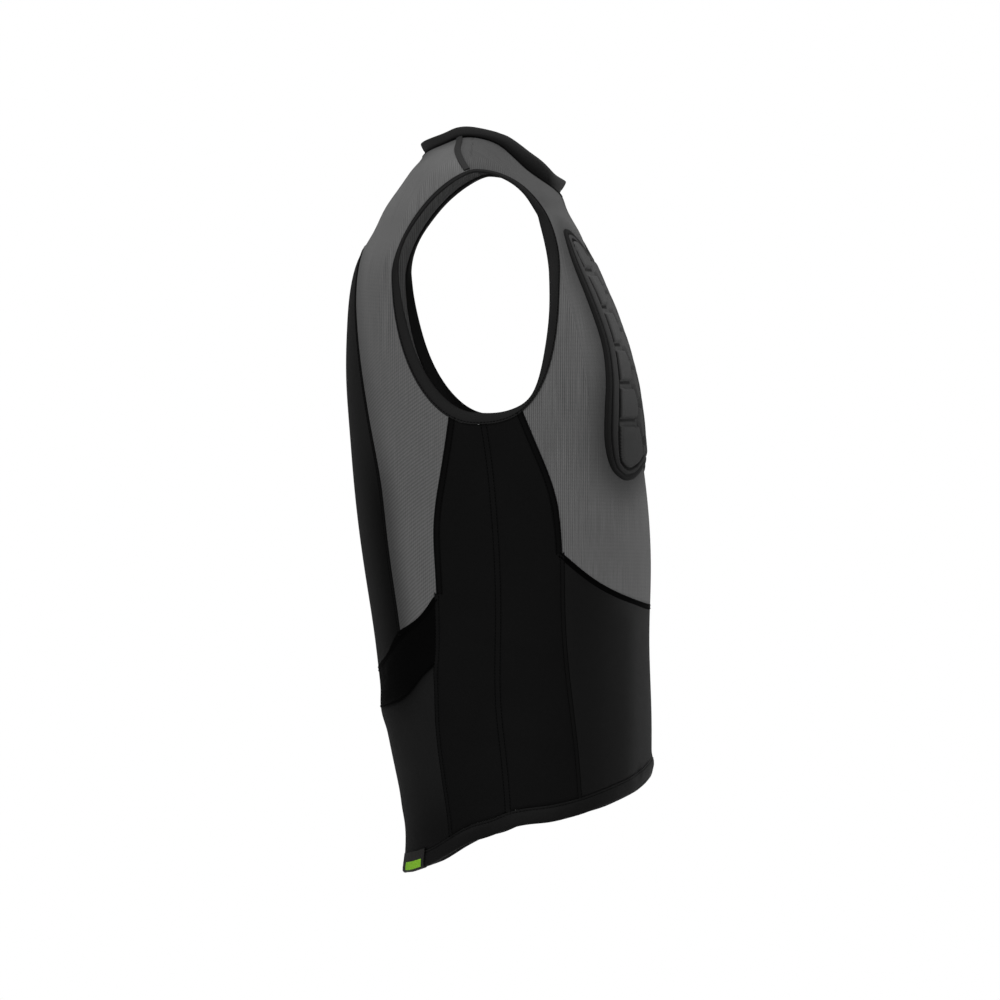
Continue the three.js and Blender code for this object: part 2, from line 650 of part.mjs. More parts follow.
// Edges of the right half, from the shoulder downwards
const shoulderNeck = neckSpot(SHOULDER_ON_NECK);
const shoulderArm = armholeSpot(SHOULDER_ON_ARMHOLE);
const onShoulder = (share) => mixed(shoulderArm, shoulderNeck, share);
const shoulder = along(STEPS.shoulder, 0, 1, onShoulder);
const armholeFront = along(STEPS.armhole_front, SHOULDER_ON_ARMHOLE, FRONT_SEAM_ON_ARMHOLE, armholeSpot);
const underSteps = STEPS.armhole_under;
const armholeUnderFront = along(underSteps, FRONT_SEAM_ON_ARMHOLE, SIDE_SEAM_ON_ARMHOLE, armholeSpot);
const armholeUnderBack = along(underSteps, SIDE_SEAM_ON_ARMHOLE, BACK_SEAM_ON_ARMHOLE, armholeSpot);
const armholeBack = along(STEPS.armhole_back, SHOULDER_ON_ARMHOLE, BACK_SEAM_ON_ARMHOLE - 360, armholeSpot);
const frontSeam = sideSeam(frontSeamTurn, armholeFront.at(-1));
const sideMiddle = sideSeam(sideSeamTurn, armholeUnderFront.at(-1));
const backSeam = sideSeam(backSeamTurn, armholeBack.at(-1));

// A stretch of a side seam between two heights
const stretch = (seam, steps, from, to) => along(steps, from, to, seam.spotAt);
const frontSeamUpper = stretch(frontSeam, STEPS.front_seam_upper, frontSeam.corner.z, FRONT_YOKE_Z);
const frontSeamLower = stretch(frontSeam, STEPS.front_seam_lower, FRONT_YOKE_Z, frontSeam.foot.z);
const sideSteps = STEPS.front_seam_upper + STEPS.front_seam_lower;
const sideSeamEdge = stretch(sideMiddle, sideSteps, sideMiddle.corner.z, sideMiddle.foot.z);
const backSeamUpper = stretch(backSeam, STEPS.back_seam_upper, backSeam.corner.z, LUMBAR_TOP_Z);
const backSeamLumbar = stretch(backSeam, STEPS.back_seam_lumbar, LUMBAR_TOP_Z, LUMBAR_LOW_Z);
const backSeamLower = stretch(backSeam, STEPS.back_seam_lower, LUMBAR_LOW_Z, backSeam.foot.z);

// A cross edge from a seam to a turn, its height read from a table and met at the seam
function crossEdge(steps, from, to, heightAt) {
  const miss = from.z - heightAt(from.turn).z;
  return along(steps, 0, 1, (share) => {
    const turn = THREE.MathUtils.lerp(from.turn, to, share);
    return { turn, z: heightAt(turn).z + miss * (1 - share) };
  });
}
const hemHead = (turn) => ({ z: hemAt(turn).z + HEM_HEIGHT });
const panelCorner = { turn: PANEL_CORNER_TURN, z: lumbarTopAt(PANEL_CORNER_TURN).z };
const yoke = crossEdge(STEPS.yoke, frontSeamUpper.at(-1), 0, yokeAt);
const wing = crossEdge(STEPS.wing, backSeamUpper.at(-1), panelCorner.turn, lumbarTopAt);
const panelFoot = crossEdge(STEPS.panel_foot, panelCorner, 180, lumbarTopAt);
const lumbarLow = crossEdge(STEPS.wing + STEPS.panel_foot, backSeamLumbar.at(-1), 180, lumbarLowAt);
const hemFront = crossEdge(STEPS.yoke, frontSeam.foot, 0, hemHead);
const hemSideFront = crossEdge(STEPS.armhole_under, frontSeam.foot, sideMiddle.foot.turn, hemHead);
const hemSideBack = crossEdge(STEPS.armhole_under, sideMiddle.foot, backSeam.foot.turn, hemHead);
const hemBack = crossEdge(STEPS.wing + STEPS.panel_foot, backSeam.foot, 180, hemHead);

// The neck edge from the shoulder seam to each middle line, and the centre back panel's edge
const neckFront = along(STEPS.neck_front, SHOULDER_ON_NECK, 0, neckSpot);
const neckBack = along(STEPS.neck_back, SHOULDER_ON_NECK, 180, neckSpot);
const panelArch = along(STEPS.panel_foot, 0, PANEL_ARCH_SHARE, backPanelEdge);
const panelSide = along(STEPS.panel_side, PANEL_ARCH_SHARE, 1, backPanelEdge);
panelSide[STEPS.panel_side] = panelCorner;
const frontMiddle = along(STEPS.front_middle, 0, 1, (share) => mixed(neckFront.at(-1), yoke.at(-1), share));
const nape = along(STEPS.nape, 0, 1, (share) => mixed(neckBack.at(-1), panelArch[0], share));

// The left half: over the middle of the front, or over the middle of the back
const beyond = ({ turn, z }) => ({ turn: 360 - turn, z });
const turned = (grid, turnOver) => [...grid].reverse().map((column) => column.map(turnOver));
const reversed = (edge) => [...edge].reverse();

const vest = new THREE.Group();
function addPiece(name, geometry, material) {
  const mesh = new THREE.Mesh(geometry, material);
  mesh.name = name;
  vest.add(mesh);
}

// A panel that spans the middle line, made from its right half
function addMiddlePanel(name, half, turnOver, thickness, material) {
  addPiece(name, clothWall([half, turned(half, turnOver)], thickness / 2), material);
}

const frontMeshHalf = patch(
  joined(armholeFront, frontSeamUpper), joined(neckFront, frontMiddle), shoulder, yoke,
);
addMiddlePanel('front_mesh', frontMeshHalf, mirrored, MESH_THICKNESS, GREY_MESH);
addMiddlePanel('back_mesh', patch(
  joined(armholeBack, backSeamUpper), joined(neckBack, nape, panelArch, panelSide), shoulder, wing,
), beyond, MESH_THICKNESS, GREY_MESH);
addMiddlePanel('back_panel', patch(
  panelFoot, reversed(panelArch), reversed(panelSide),
  along(STEPS.panel_side, 0, 1, (share) => mixed(panelFoot.at(-1), panelArch[0], share)),
), beyond, PANEL_THICKNESS, BLACK_JERSEY);
addMiddlePanel('lumbar_band', patch(
  lumbarLow, joined(wing, panelFoot), reversed(backSeamLumbar),
  along(STEPS.back_seam_lumbar, 0, 1, (share) => mixed(lumbarLow.at(-1), panelFoot.at(-1), share)),
), beyond, PANEL_THICKNESS, BLACK_JERSEY);
addMiddlePanel('lower_back', patch(
  hemBack, lumbarLow, reversed(backSeamLower),
  along(STEPS.back_seam_lower, 0, 1, (share) => mixed(hemBack.at(-1), lumbarLow.at(-1), share)),
), beyond, PANEL_THICKNESS, CHARCOAL_JERSEY);
addMiddlePanel('lower_front', patch(
  hemFront, yoke, reversed(frontSeamLower),
  along(STEPS.front_seam_lower, 0, 1, (share) => mixed(hemFront.at(-1), yoke.at(-1), share)),
), mirrored, PANEL_THICKNESS, BLACK_JERSEY);

// Pieces that come in pairs
const sideFrontGrid = patch(
  hemSideFront, armholeUnderFront,
  reversed(joined(frontSeamUpper, frontSeamLower)), reversed(sideSeamEdge),
);
const sideBackGrid = patch(
  hemSideBack, armholeUnderBack,
  reversed(sideSeamEdge), reversed(joined(backSeamUpper, backSeamLumbar, backSeamLower)),
);
const armholeAngles = joined(
  along(STEPS.armhole_front, SHOULDER_ON_ARMHOLE, FRONT_SEAM_ON_ARMHOLE, (angle) => angle),
  along(underSteps, FRONT_SEAM_ON_ARMHOLE, SIDE_SEAM_ON_ARMHOLE, (angle) => angle),
  along(underSteps, SIDE_SEAM_ON_ARMHOLE, BACK_SEAM_ON_ARMHOLE, (angle) => angle),
  along(STEPS.armhole_back, BACK_SEAM_ON_ARMHOLE, 360 + SHOULDER_ON_ARMHOLE, (angle) => angle),
).slice(0, -1);
const armholeLoop = armholeAngles.map(armholeSpot);
const tapeEdge = along(STEPS.shoulder, TAPE_FROM, TAPE_TO, onShoulder);
for (const { side, place, intoHole } of [
  { side: 'right', place: (spot) => spot, intoHole: 1 },
  { side: 'left', place: mirrored, intoHole: -1 },
]) {
  const sideWall = (grid) => clothWall([grid.map((column) => column.map(place))], PANEL_THICKNESS / 2);
  addPiece(`side_panel_front_${side}`, sideWall(sideFrontGrid), BLACK_JERSEY);
  addPiece(`side_panel_back_${side}`, sideWall(sideBackGrid), BLACK_JERSEY);
  const binding = bindingWall(armholeLoop.map(place), armholeAngles, intoHole);
  addPiece(`armhole_binding_${side}`, binding, BAND_CLOTH);
  const tapeLift = MESH_THICKNESS / 2 + SEAT_GAP;
  const tape = stripWall(tapeEdge.map(place), SHOULDER_TAPE_WIDTH, tapeLift);
  addPiece(`shoulder_tape_${side}`, tape, BAND_CLOTH);
}

// Collar, hem and tag
const neckAngles = joined(
  along(STEPS.neck_front, 0, SHOULDER_ON_NECK, (angle) => angle),
  along(2 * STEPS.neck_back, SHOULDER_ON_NECK, 360 - SHOULDER_ON_NECK, (angle) => angle),
  along(STEPS.neck_front, 360 - SHOULDER_ON_NECK, 360, (angle) => angle),
).slice(0, -1);
addPiece('collar', collarWall(neckAngles), BAND_CLOTH);
const hemHalf = joined(reversed(hemFront), hemSideFront, hemSideBack, hemBack).map(({ turn }) => turn);
const hemTurns = [...hemHalf, ...hemHalf.slice(1, -1).reverse().map((turn) => -turn)];
addPiece('hem_band', hemWall(hemTurns), BLACK_JERSEY);
const tagLift = BAND_THICKNESS / 2 + SEAT_GAP;
const tagFace = (lift) => along(4, TAG_FROM_TURN, TAG_TO_TURN, (turn) => (
  along(2, TAG_FOOT_MARGIN, TAG_HEIGHT, (height) => (
    onBody({ turn, z: hemAt(turn).z + height }, lift)
  ))
));
addPiece('hem_tag', wall(tagFace(tagLift + TAPE_THICKNESS), tagFace(tagLift)), TAG_WEAVE);

// Foam
const padCarrier = clothWall(
  [frontMeshHalf, turned(frontMeshHalf, mirrored)], MESH_THICKNESS / 2 + SEAT_GAP, -PAD_SINK_ROOM,
);
addPiece('chest_pad', chestPad(padCarrier), PAD_FOAM);

export default vest;
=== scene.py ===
"""Looks of a sleeveless protective vest: ribbed mesh yokes, jersey panels, folded bands and a moulded chest pad.

Shapes are worked out in millimetres and degrees, and MM turns a finished shape into metres.
A place on the vest is a pair (turn, z): turn is 0 at the centre front, 90 at the wearer's right, 180 at the back.
"""

import bpy
import numpy as np
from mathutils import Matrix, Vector


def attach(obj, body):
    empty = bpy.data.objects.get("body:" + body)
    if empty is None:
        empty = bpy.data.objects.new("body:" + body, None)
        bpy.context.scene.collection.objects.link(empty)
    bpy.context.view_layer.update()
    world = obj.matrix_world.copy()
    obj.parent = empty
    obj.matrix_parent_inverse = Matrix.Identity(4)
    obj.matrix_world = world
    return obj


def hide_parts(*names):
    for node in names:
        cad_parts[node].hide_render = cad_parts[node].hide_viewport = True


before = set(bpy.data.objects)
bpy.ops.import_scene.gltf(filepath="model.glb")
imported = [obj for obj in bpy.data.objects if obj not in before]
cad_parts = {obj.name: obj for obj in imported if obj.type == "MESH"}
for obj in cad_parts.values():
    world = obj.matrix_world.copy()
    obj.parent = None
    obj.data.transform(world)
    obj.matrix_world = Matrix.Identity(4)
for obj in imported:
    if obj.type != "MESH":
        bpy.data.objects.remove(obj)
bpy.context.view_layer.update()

MM = 0.001
# Millimetres round the cloth for one degree of turn, about
MM_PER_DEGREE = 2.75
FLAT_SCALE = np.array([MM_PER_DEGREE, 1])

# Thickness of each kind of piece, and the room under a piece that lies on the cloth
MESH_THICKNESS = 1.4
PANEL_THICKNESS = 1.2
BAND_THICKNESS = 2.6
TAPE_THICKNESS = 1.0
SEAT_GAP = 0.5

# Bands, tapes and tag
HEM_HEIGHT = 16
SHOULDER_TAPE_WIDTH = 6
TAG_TURNS = (138.5, 165)
TAG_HEIGHT = 18

# Neck hole, an ellipse seen from above
NECK_HALF_WIDTH = 75
NECK_FRONT = 79.2
NECK_BACK = 48
NECK_Z_RANGE = (-45, 25)

# Armhole, an egg seen from the side: its widest line, how far ahead of the shoulder line it lies,
# half width, height above and below, and exponents of its upper and lower quarters
ARMHOLE_Z = -114
ARMHOLE_AHEAD = 5.3
ARMHOLE_HALF_WIDTH = 79
ARMHOLE_RISE = 98
ARMHOLE_DROP = 142.5
ARMHOLE_SQUARE_FRONT = (2.08, 2.7)
ARMHOLE_SQUARE_BACK = (1.55, 2.02)

# Places on the armhole where seams end, in degrees from its top towards the front
SHOULDER_ON_ARMHOLE = -5
FRONT_SEAM_ON_ARMHOLE = 148
SIDE_SEAM_ON_ARMHOLE = 174
BACK_SEAM_ON_ARMHOLE = 198
SHOULDER_ON_NECK = 116.5

# Where the cross seams meet the side seams
FRONT_YOKE_Z = -378
LUMBAR_TOP_Z = -416
LUMBAR_LOW_Z = -482
SEAM_FADE = 60
PANEL_CORNER_TURN = 136.6
PANEL_ARCH_SHARE = 0.13

# Steps along each edge: edges that face each other in a patch have the same count
REFINE = 8
STEPS = {
    name: count * REFINE
    for name, count in {
        "shoulder": 7, "armhole_front": 17, "armhole_under": 3, "armhole_back": 14,
        "neck_front": 11, "front_middle": 12, "neck_back": 4, "nape": 3,
        "front_seam_upper": 6, "front_seam_lower": 7, "yoke": 7,
        "back_seam_upper": 7, "back_seam_lumbar": 2, "back_seam_lower": 4,
        "wing": 7, "panel_foot": 4, "panel_side": 10,
    }.items()
}


def table(*rows):
    """A smooth curve through rows, whose first column is the place and whose others are read between the rows.

    Formula: a natural cubic spline. Its bends solve one linear system and are nought at both ends.
    """
    rows = np.array(sorted(rows), float)
    places, values = rows[:, 0], rows[:, 1:]
    count = len(places)
    gaps = np.diff(places)
    inner = np.arange(1, count - 1)
    matrix = np.eye(count)
    matrix[inner, inner - 1] = gaps[:-1]
    matrix[inner, inner] = 2 * (gaps[:-1] + gaps[1:])
    matrix[inner, inner + 1] = gaps[1:]
    right = np.zeros_like(values)
    right[inner] = 6 * np.diff(np.diff(values, axis=0) / gaps[:, None], axis=0)
    bends = np.linalg.solve(matrix, right)

    def read(place):
        place = np.clip(np.asarray(place, float), places[0], places[-1])
        k = np.clip(np.searchsorted(places, place) - 1, 0, count - 2)
        gap = gaps[k][..., None]
        after = (place - places[k])[..., None]
        before = gap - after
        return (
            (bends[k] * before**3 + bends[k + 1] * after**3) / (6 * gap)
            + (values[k] / gap - bends[k] * gap / 6) * before
            + (values[k + 1] / gap - bends[k + 1] * gap / 6) * after
        )

    return read


# Level sections of the worn form. front and back are reaches from the shoulder line, side is how
# far ahead of it the widest point lies, square is the outline's exponent, 2 for an ellipse.
section_at = table(
    # z, front, back, side, half_width, front_square, back_square
    (26, 26, 20, 0, 46, 2, 2),
    (16, 32, 29, 0, 73, 2, 2),
    (10.5, 36, 32.5, 0, 91, 2, 2),
    (3, 40, 45, 0.5, 117, 2, 2),
    (-5, 45.5, 51.4, 1, 142, 2, 2),
    (-12.5, 51, 57.9, 2, 161, 2.1, 2.05),
    (-24, 64, 66.4, 3, 173, 2.25, 2.15),
    (-37, 79, 75.5, 3, 176, 2.35, 2.25),
    (-50, 84.6, 84.4, 2.5, 178, 2.4, 2.3),
    (-73, 96.9, 95.8, 2, 180, 2.5, 2.35),
    (-96, 106, 109.1, 2, 181, 2.5, 2.4),
    (-119, 114, 116.7, 3, 182, 2.5, 2.4),
    (-164, 131, 121.5, 5, 181.5, 2.5, 2.4),
    (-210, 145, 122.4, 8, 179, 2.5, 2.4),
    (-256, 152.5, 119.6, 12, 175, 2.5, 2.4),
    (-324, 161.5, 113.9, 17, 167, 2.45, 2.4),
    (-392, 165.3, 105.3, 21.5, 160, 2.4, 2.35),
    (-461, 164, 94.9, 26, 156, 2.35, 2.3),
    (-529, 166, 86.4, 30, 155, 2.3, 2.3),
    (-597, 165.6, 73, 34, 157, 2.3, 2.25),
    (-643, 164.6, 66.2, 36, 158.5, 2.25, 2.2),
    (-690, 163.6, 69.5, 37, 160, 2.2, 2.2),
)

# Edges that run down the sides: z, turn
front_seam_turn = table(
    (-245, 73.5), (-281, 69.4), (-308, 66.3), (-350, 64.1), (-420, 64.2), (-500, 63.1), (-560, 61.1), (-640, 58.7),
)
side_seam_turn = table((-257, 88.6), (-340, 88), (-450, 89.4), (-520, 91.3), (-580, 90.1), (-645, 89.6))
back_seam_turn = table(
    (-250, 102.7), (-308, 109.1), (-351, 113.1), (-395, 114.5), (-470, 117.5), (-537, 120.9), (-665, 120.8),
)

# Edges that run across: turn, z
hem_at = table(
    (-17.2, -593.3), (0, -587.5), (17.2, -593.3), (30, -602.6), (39.8, -610.3), (57.8, -624), (72.6, -632),
    (88.3, -637.6), (97, -644), (108.8, -650.3), (120.8, -660.7), (131, -670.4), (140.8, -676), (156.8, -680),
    (180, -681), (203.2, -680),
)
yoke_at = table((-22.4, -424.6), (0, -427), (22.4, -424.6), (40.9, -415), (54, -399), (64.1, FRONT_YOKE_Z))
lumbar_top_at = table(
    (115.3, LUMBAR_TOP_Z), (123.2, -436), (136.6, -456), (148.8, -473), (158.8, -481), (180, -486), (201.2, -481),
)
lumbar_low_at = table(
    (118.2, LUMBAR_LOW_Z), (125.2, -493), (131.6, -505), (140.8, -516), (148.8, -520), (180, -523), (211.2, -520),
)

# Edge of the centre back panel, from the middle of its arched top down to its lower corner: share, turn, z
back_panel_edge = table(
    (-0.05, 189.4, -87.5), (0, 180, -86), (0.05, 170.6, -87.5), (0.09, 163.9, -92), (PANEL_ARCH_SHARE, 158.6, -100),
    (0.19, 154.2, -119), (0.28, 149.4, -157), (0.42, 143.3, -214), (0.53, 140, -261), (0.63, 136.9, -305),
    (0.76, 136.4, -356), (1, PANEL_CORNER_TURN, -456),
)

# Binding: how far its free edge reaches into the armhole and lifts out of the cloth: angle, reach, lift
binding_at = table(
    (-25, 7, 3.2), (-10, 6.5, 3.2), (0, 6.5, 2.8), (10, 7, 2.2), (20, 8, 1.2), (30, 9, -0.2), (45, 9.5, -2.2),
    (60, 9.3, -6.3), (80, 9, -7.4), (95, 9, -4.6), (108, 9.3, -2), (120, 8.3, -1.7), (130, 5.5, -2.6),
    (140, 3.5, -4), (150, 6.4, -3.2), (160, 8.8, -2.8), (175, 10.6, -3.4), (190, 11.4, -4), (210, 11.2, -5.4),
    (225, 10.6, -4.8), (240, 9.6, -4.8), (252, 9, -4), (262, 8.8, -1.6), (272, 8.5, 0.4), (282, 8, 2.3),
    (292, 8, 3), (302, 8.2, 3.3), (312, 8.2, 3.2), (322, 7.8, 3.1), (335, 7, 3.2), (350, 6.5, 3.2), (360, 6.5, 2.8),
    (370, 7, 2.2),
)

# Collar band: how far it rises and leans outwards round the neck, from the front: angle, rise, lean
collar_at = table(
    (-20, 10.8, 5.8), (0, 11.5, 6.5), (20, 10.8, 5.8), (32, 11.4, 4.8), (44, 15.6, 3.6), (52, 16.7, 3),
    (60, 16.2, 2.4), (75, 13.2, 1), (90, 9.8, 0), (112, 9.6, 0.7), (135, 10.3, 2), (180, 10, 4.5), (225, 10.3, 2),
)

# Soft ridges in the cloth: from turn and z, to turn and z, height, half width
FOLDS = {
    "lumbar": ((120, -490), (180, -530), 2.5, 13),
    "belly": ((31, -450), (34, -585), 2, 22),
    "flank": ((64, -330), (38, -372), 1.5, 16),
    "lumbar_upper": ((121, -447), (150, -486), 1.1, 8),
    "lumbar_under": ((125, -525), (158, -556), 0.9, 9),
    "waist": ((70, -470), (104, -446), 0.6, 9),
    "hip": ((64, -560), (96, -540), 0.6, 10),
    "tail": ((128, -600), (172, -620), 0.8, 12),
    "hem_roll": ((0, -575), (24, -585), 1.8, 6),
}


def folded_turn(turn):
    """The turn of a place, or of its image if it lies on the left half."""
    return 180 - np.abs(180 - np.abs(turn))


def fold_height(turn, z):
    """Height of the soft folds: for each fold, a bell curve of the distance to its line, alike on both halves."""
    turn = folded_turn(turn)
    height = np.zeros(np.broadcast(turn, z).shape)
    for start, end, rise, width in FOLDS.values():
        run = np.subtract(end, start) * FLAT_SCALE
        away = np.stack([turn - start[0], z - start[1]], -1) * FLAT_SCALE
        share = np.clip(away @ run / (run @ run), 0, 1)
        distance = np.linalg.norm(away - share[..., None] * run, axis=-1)
        height += rise * np.exp(-((distance / width) ** 2))
    return height


def body_point(turn, z):
    """A point of the worn form: a squared ellipse at each height, read from the table of sections."""
    turn, z = np.broadcast_arrays(np.asarray(turn, float), np.asarray(z, float))
    front, back, side, half_width, front_square, back_square = np.moveaxis(section_at(z), -1, 0)
    sine, cosine = np.sin(np.radians(turn)), np.cos(np.radians(turn))
    square = np.where(cosine >= 0, front_square, back_square)
    depth = np.where(cosine >= 0, front - side, back + side)
    reach = (np.abs(sine) ** square + np.abs(cosine) ** square) ** (-1 / square)
    return np.stack([-half_width * reach * sine, -side - depth * reach * cosine, z], -1)


def unit(vectors):
    """Vectors divided by their own length."""
    return vectors / np.maximum(np.linalg.norm(vectors, axis=-1, keepdims=True), 1e-9)


def body_normal(turn, z, step=0.5):
    """Outward direction: the cross product of the slopes up and around, by differences."""
    around = body_point(turn + step, z) - body_point(turn - step, z)
    upward = body_point(turn, z + step) - body_point(turn, z - step)
    return unit(np.cross(upward, around))


def on_body(spots, lift=0.0):
    """Points at a lift outside the middle of the cloth, with its soft folds."""
    turn, z = spots[..., 0], spots[..., 1]
    raised = np.asarray(lift + fold_height(turn, z))
    return body_point(turn, z) + body_normal(turn, z) * raised[..., None]


def turn_at_depth(y, z):
    """The turn, on the wearer's right, of the point at a depth and a height: the section's formula solved for turn."""
    front, back, side, _, front_square, back_square = np.moveaxis(section_at(z), -1, 0)
    ahead = -y - side
    square = np.where(ahead >= 0, front_square, back_square)
    cosine = np.clip(ahead / np.where(ahead >= 0, front - side, back + side), -1, 1)
    sine = (1 - np.abs(cosine) ** square) ** (1 / square)
    return np.degrees(np.arctan2(sine, cosine))


def armhole_spots(angles):
    """Places on the armhole's edge: a squared ellipse in side view with its own exponent in each quarter."""
    ahead, above = np.sin(np.radians(angles)), np.cos(np.radians(angles))
    square_front = np.where(above >= 0, *ARMHOLE_SQUARE_FRONT)
    square_back = np.where(above >= 0, *ARMHOLE_SQUARE_BACK)
    square = np.where(ahead >= 0, square_front, square_back)
    reach = (np.abs(ahead) ** square + np.abs(above) ** square) ** (-1 / square)
    z = ARMHOLE_Z + np.where(above >= 0, ARMHOLE_RISE, ARMHOLE_DROP) * reach * above
    return np.stack([turn_at_depth(-ARMHOLE_AHEAD - ARMHOLE_HALF_WIDTH * reach * ahead, z), z], -1)


def neck_spots(angles):
    """Places on the neck edge: an ellipse carried straight down until it meets the worn form, found by halving."""
    angles = np.asarray(angles, float)
    x = NECK_HALF_WIDTH * np.sin(np.radians(angles))
    y = (NECK_BACK - NECK_FRONT) / 2 - (NECK_FRONT + NECK_BACK) / 2 * np.cos(np.radians(angles))
    low, high = (np.full(angles.shape, float(z)) for z in NECK_Z_RANGE)
    for _ in range(40):
        z = (low + high) / 2
        section = section_at(z)
        outside = (-y > section[..., 0]) | (y > section[..., 1])
        outside |= -body_point(turn_at_depth(y, z), z)[..., 0] < x
        high, low = np.where(outside, z, high), np.where(outside, low, z)
    return np.stack([turn_at_depth(y, low), low], -1)


def mixed(start, end, steps):
    """Places on the straight way between two places."""
    return np.linspace(start, end, steps + 1)


def joined(*edges):
    """Edges set end to end, each starting where the last one stopped."""
    return np.concatenate([edges[0]] + [edge[1:] for edge in edges[1:]])


class SideSeam:
    """A side seam from the armhole to the hem, drawn in to its corner on the armhole over SEAM_FADE."""

    def __init__(self, turn_at, corner):
        self.turn_at, self.corner = turn_at, corner
        self.miss = corner[0] - turn_at(corner[1])[0]
        foot = hem_at(turn_at(LUMBAR_LOW_Z)[0])[0] + HEM_HEIGHT
        for _ in range(12):
            foot = hem_at(self.spots(np.array([foot]))[0, 0])[0] + HEM_HEIGHT
        self.foot = self.spots(np.array([foot]))[0]

    def spots(self, z):
        fade = np.maximum(0, 1 - (self.corner[1] - z) / SEAM_FADE) ** 2
        return np.stack([self.turn_at(z)[..., 0] + self.miss * fade, z], -1)

    def stretch(self, steps, start, end):
        return self.spots(np.linspace(start, end, steps + 1))


def cross_edge(steps, start, end_turn, height_at):
    """A cross edge from a seam to a turn, its height read from a table and met at the seam."""
    share = np.linspace(0, 1, steps + 1)
    turn = start[0] + (end_turn - start[0]) * share
    miss = start[1] - height_at(start[0])[0]
    return np.stack([turn, height_at(turn)[..., 0] + miss * (1 - share)], -1)


def patch(foot, head, side_a, side_b):
    """A Coons patch: both pairs of edges blended, less the blend of the four corners."""
    u = np.linspace(0, 1, len(foot))[:, None, None]
    v = np.linspace(0, 1, len(side_a))[None, :, None]
    between = (1 - v) * foot[:, None] + v * head[:, None]
    first, last = between[:1], between[-1:]
    return between + (1 - u) * (side_a[None] - first) + u * (side_b[None] - last)


# Edges of the right half, from the shoulder downwards
def along_armhole(steps, start, end):
    return armhole_spots(np.linspace(start, end, steps + 1))


shoulder_neck = neck_spots(SHOULDER_ON_NECK)
shoulder_arm = armhole_spots(SHOULDER_ON_ARMHOLE)
shoulder = mixed(shoulder_arm, shoulder_neck, STEPS["shoulder"])
armhole_front = along_armhole(STEPS["armhole_front"], SHOULDER_ON_ARMHOLE, FRONT_SEAM_ON_ARMHOLE)
armhole_under_front = along_armhole(STEPS["armhole_under"], FRONT_SEAM_ON_ARMHOLE, SIDE_SEAM_ON_ARMHOLE)
armhole_under_back = along_armhole(STEPS["armhole_under"], SIDE_SEAM_ON_ARMHOLE, BACK_SEAM_ON_ARMHOLE)
armhole_back = along_armhole(STEPS["armhole_back"], SHOULDER_ON_ARMHOLE, BACK_SEAM_ON_ARMHOLE - 360)
front_seam = SideSeam(front_seam_turn, armhole_front[-1])
side_seam = SideSeam(side_seam_turn, armhole_under_front[-1])
back_seam = SideSeam(back_seam_turn, armhole_back[-1])

front_seam_upper = front_seam.stretch(STEPS["front_seam_upper"], front_seam.corner[1], FRONT_YOKE_Z)
front_seam_lower = front_seam.stretch(STEPS["front_seam_lower"], FRONT_YOKE_Z, front_seam.foot[1])
side_steps = STEPS["front_seam_upper"] + STEPS["front_seam_lower"]
side_seam_edge = side_seam.stretch(side_steps, side_seam.corner[1], side_seam.foot[1])
back_seam_upper = back_seam.stretch(STEPS["back_seam_upper"], back_seam.corner[1], LUMBAR_TOP_Z)
back_seam_lumbar = back_seam.stretch(STEPS["back_seam_lumbar"], LUMBAR_TOP_Z, LUMBAR_LOW_Z)
back_seam_lower = back_seam.stretch(STEPS["back_seam_lower"], LUMBAR_LOW_Z, back_seam.foot[1])


def hem_head(turn):
    return hem_at(turn) + HEM_HEIGHT


back_steps = STEPS["wing"] + STEPS["panel_foot"]
panel_corner = np.array([PANEL_CORNER_TURN, lumbar_top_at(PANEL_CORNER_TURN)[0]])
yoke = cross_edge(STEPS["yoke"], front_seam_upper[-1], 0, yoke_at)
wing = cross_edge(STEPS["wing"], back_seam_upper[-1], panel_corner[0], lumbar_top_at)
panel_foot = cross_edge(STEPS["panel_foot"], panel_corner, 180, lumbar_top_at)
lumbar_low = cross_edge(back_steps, back_seam_lumbar[-1], 180, lumbar_low_at)
hem_front = cross_edge(STEPS["yoke"], front_seam.foot, 0, hem_head)
hem_side_front = cross_edge(STEPS["armhole_under"], front_seam.foot, side_seam.foot[0], hem_head)
hem_side_back = cross_edge(STEPS["armhole_under"], side_seam.foot, back_seam.foot[0], hem_head)
hem_back = cross_edge(back_steps, back_seam.foot, 180, hem_head)

neck_front = neck_spots(np.linspace(SHOULDER_ON_NECK, 0, STEPS["neck_front"] + 1))
neck_back = neck_spots(np.linspace(SHOULDER_ON_NECK, 180, STEPS["neck_back"] + 1))
panel_arch = back_panel_edge(np.linspace(0, PANEL_ARCH_SHARE, STEPS["panel_foot"] + 1))
panel_side = back_panel_edge(np.linspace(PANEL_ARCH_SHARE, 1, STEPS["panel_side"] + 1))
panel_side[-1] = panel_corner
front_middle = mixed(neck_front[-1], yoke[-1], STEPS["front_middle"])
nape = mixed(neck_back[-1], panel_arch[0], STEPS["nape"])
armhole_angles = np.linspace(SHOULDER_ON_ARMHOLE, 360 + SHOULDER_ON_ARMHOLE, 361)
armhole_loop = armhole_spots(armhole_angles[:-1])


# Flat places in the cloth: lengths around and upwards, in metres, for the weave
FLAT_LEVEL = -300
flat_turns = np.linspace(0, 180, 181)
flat_levels = np.linspace(-690, 26, 240)
level_points = body_point(flat_turns, FLAT_LEVEL)
flat_around = np.append(0, np.cumsum(np.linalg.norm(np.diff(level_points, axis=0), axis=1)))
rise_steps = np.diff(body_point(flat_turns[:, None], flat_levels[None]), axis=1)
flat_upward = np.pad(np.cumsum(np.linalg.norm(rise_steps, axis=-1), axis=1), ((0, 0), (1, 0)))


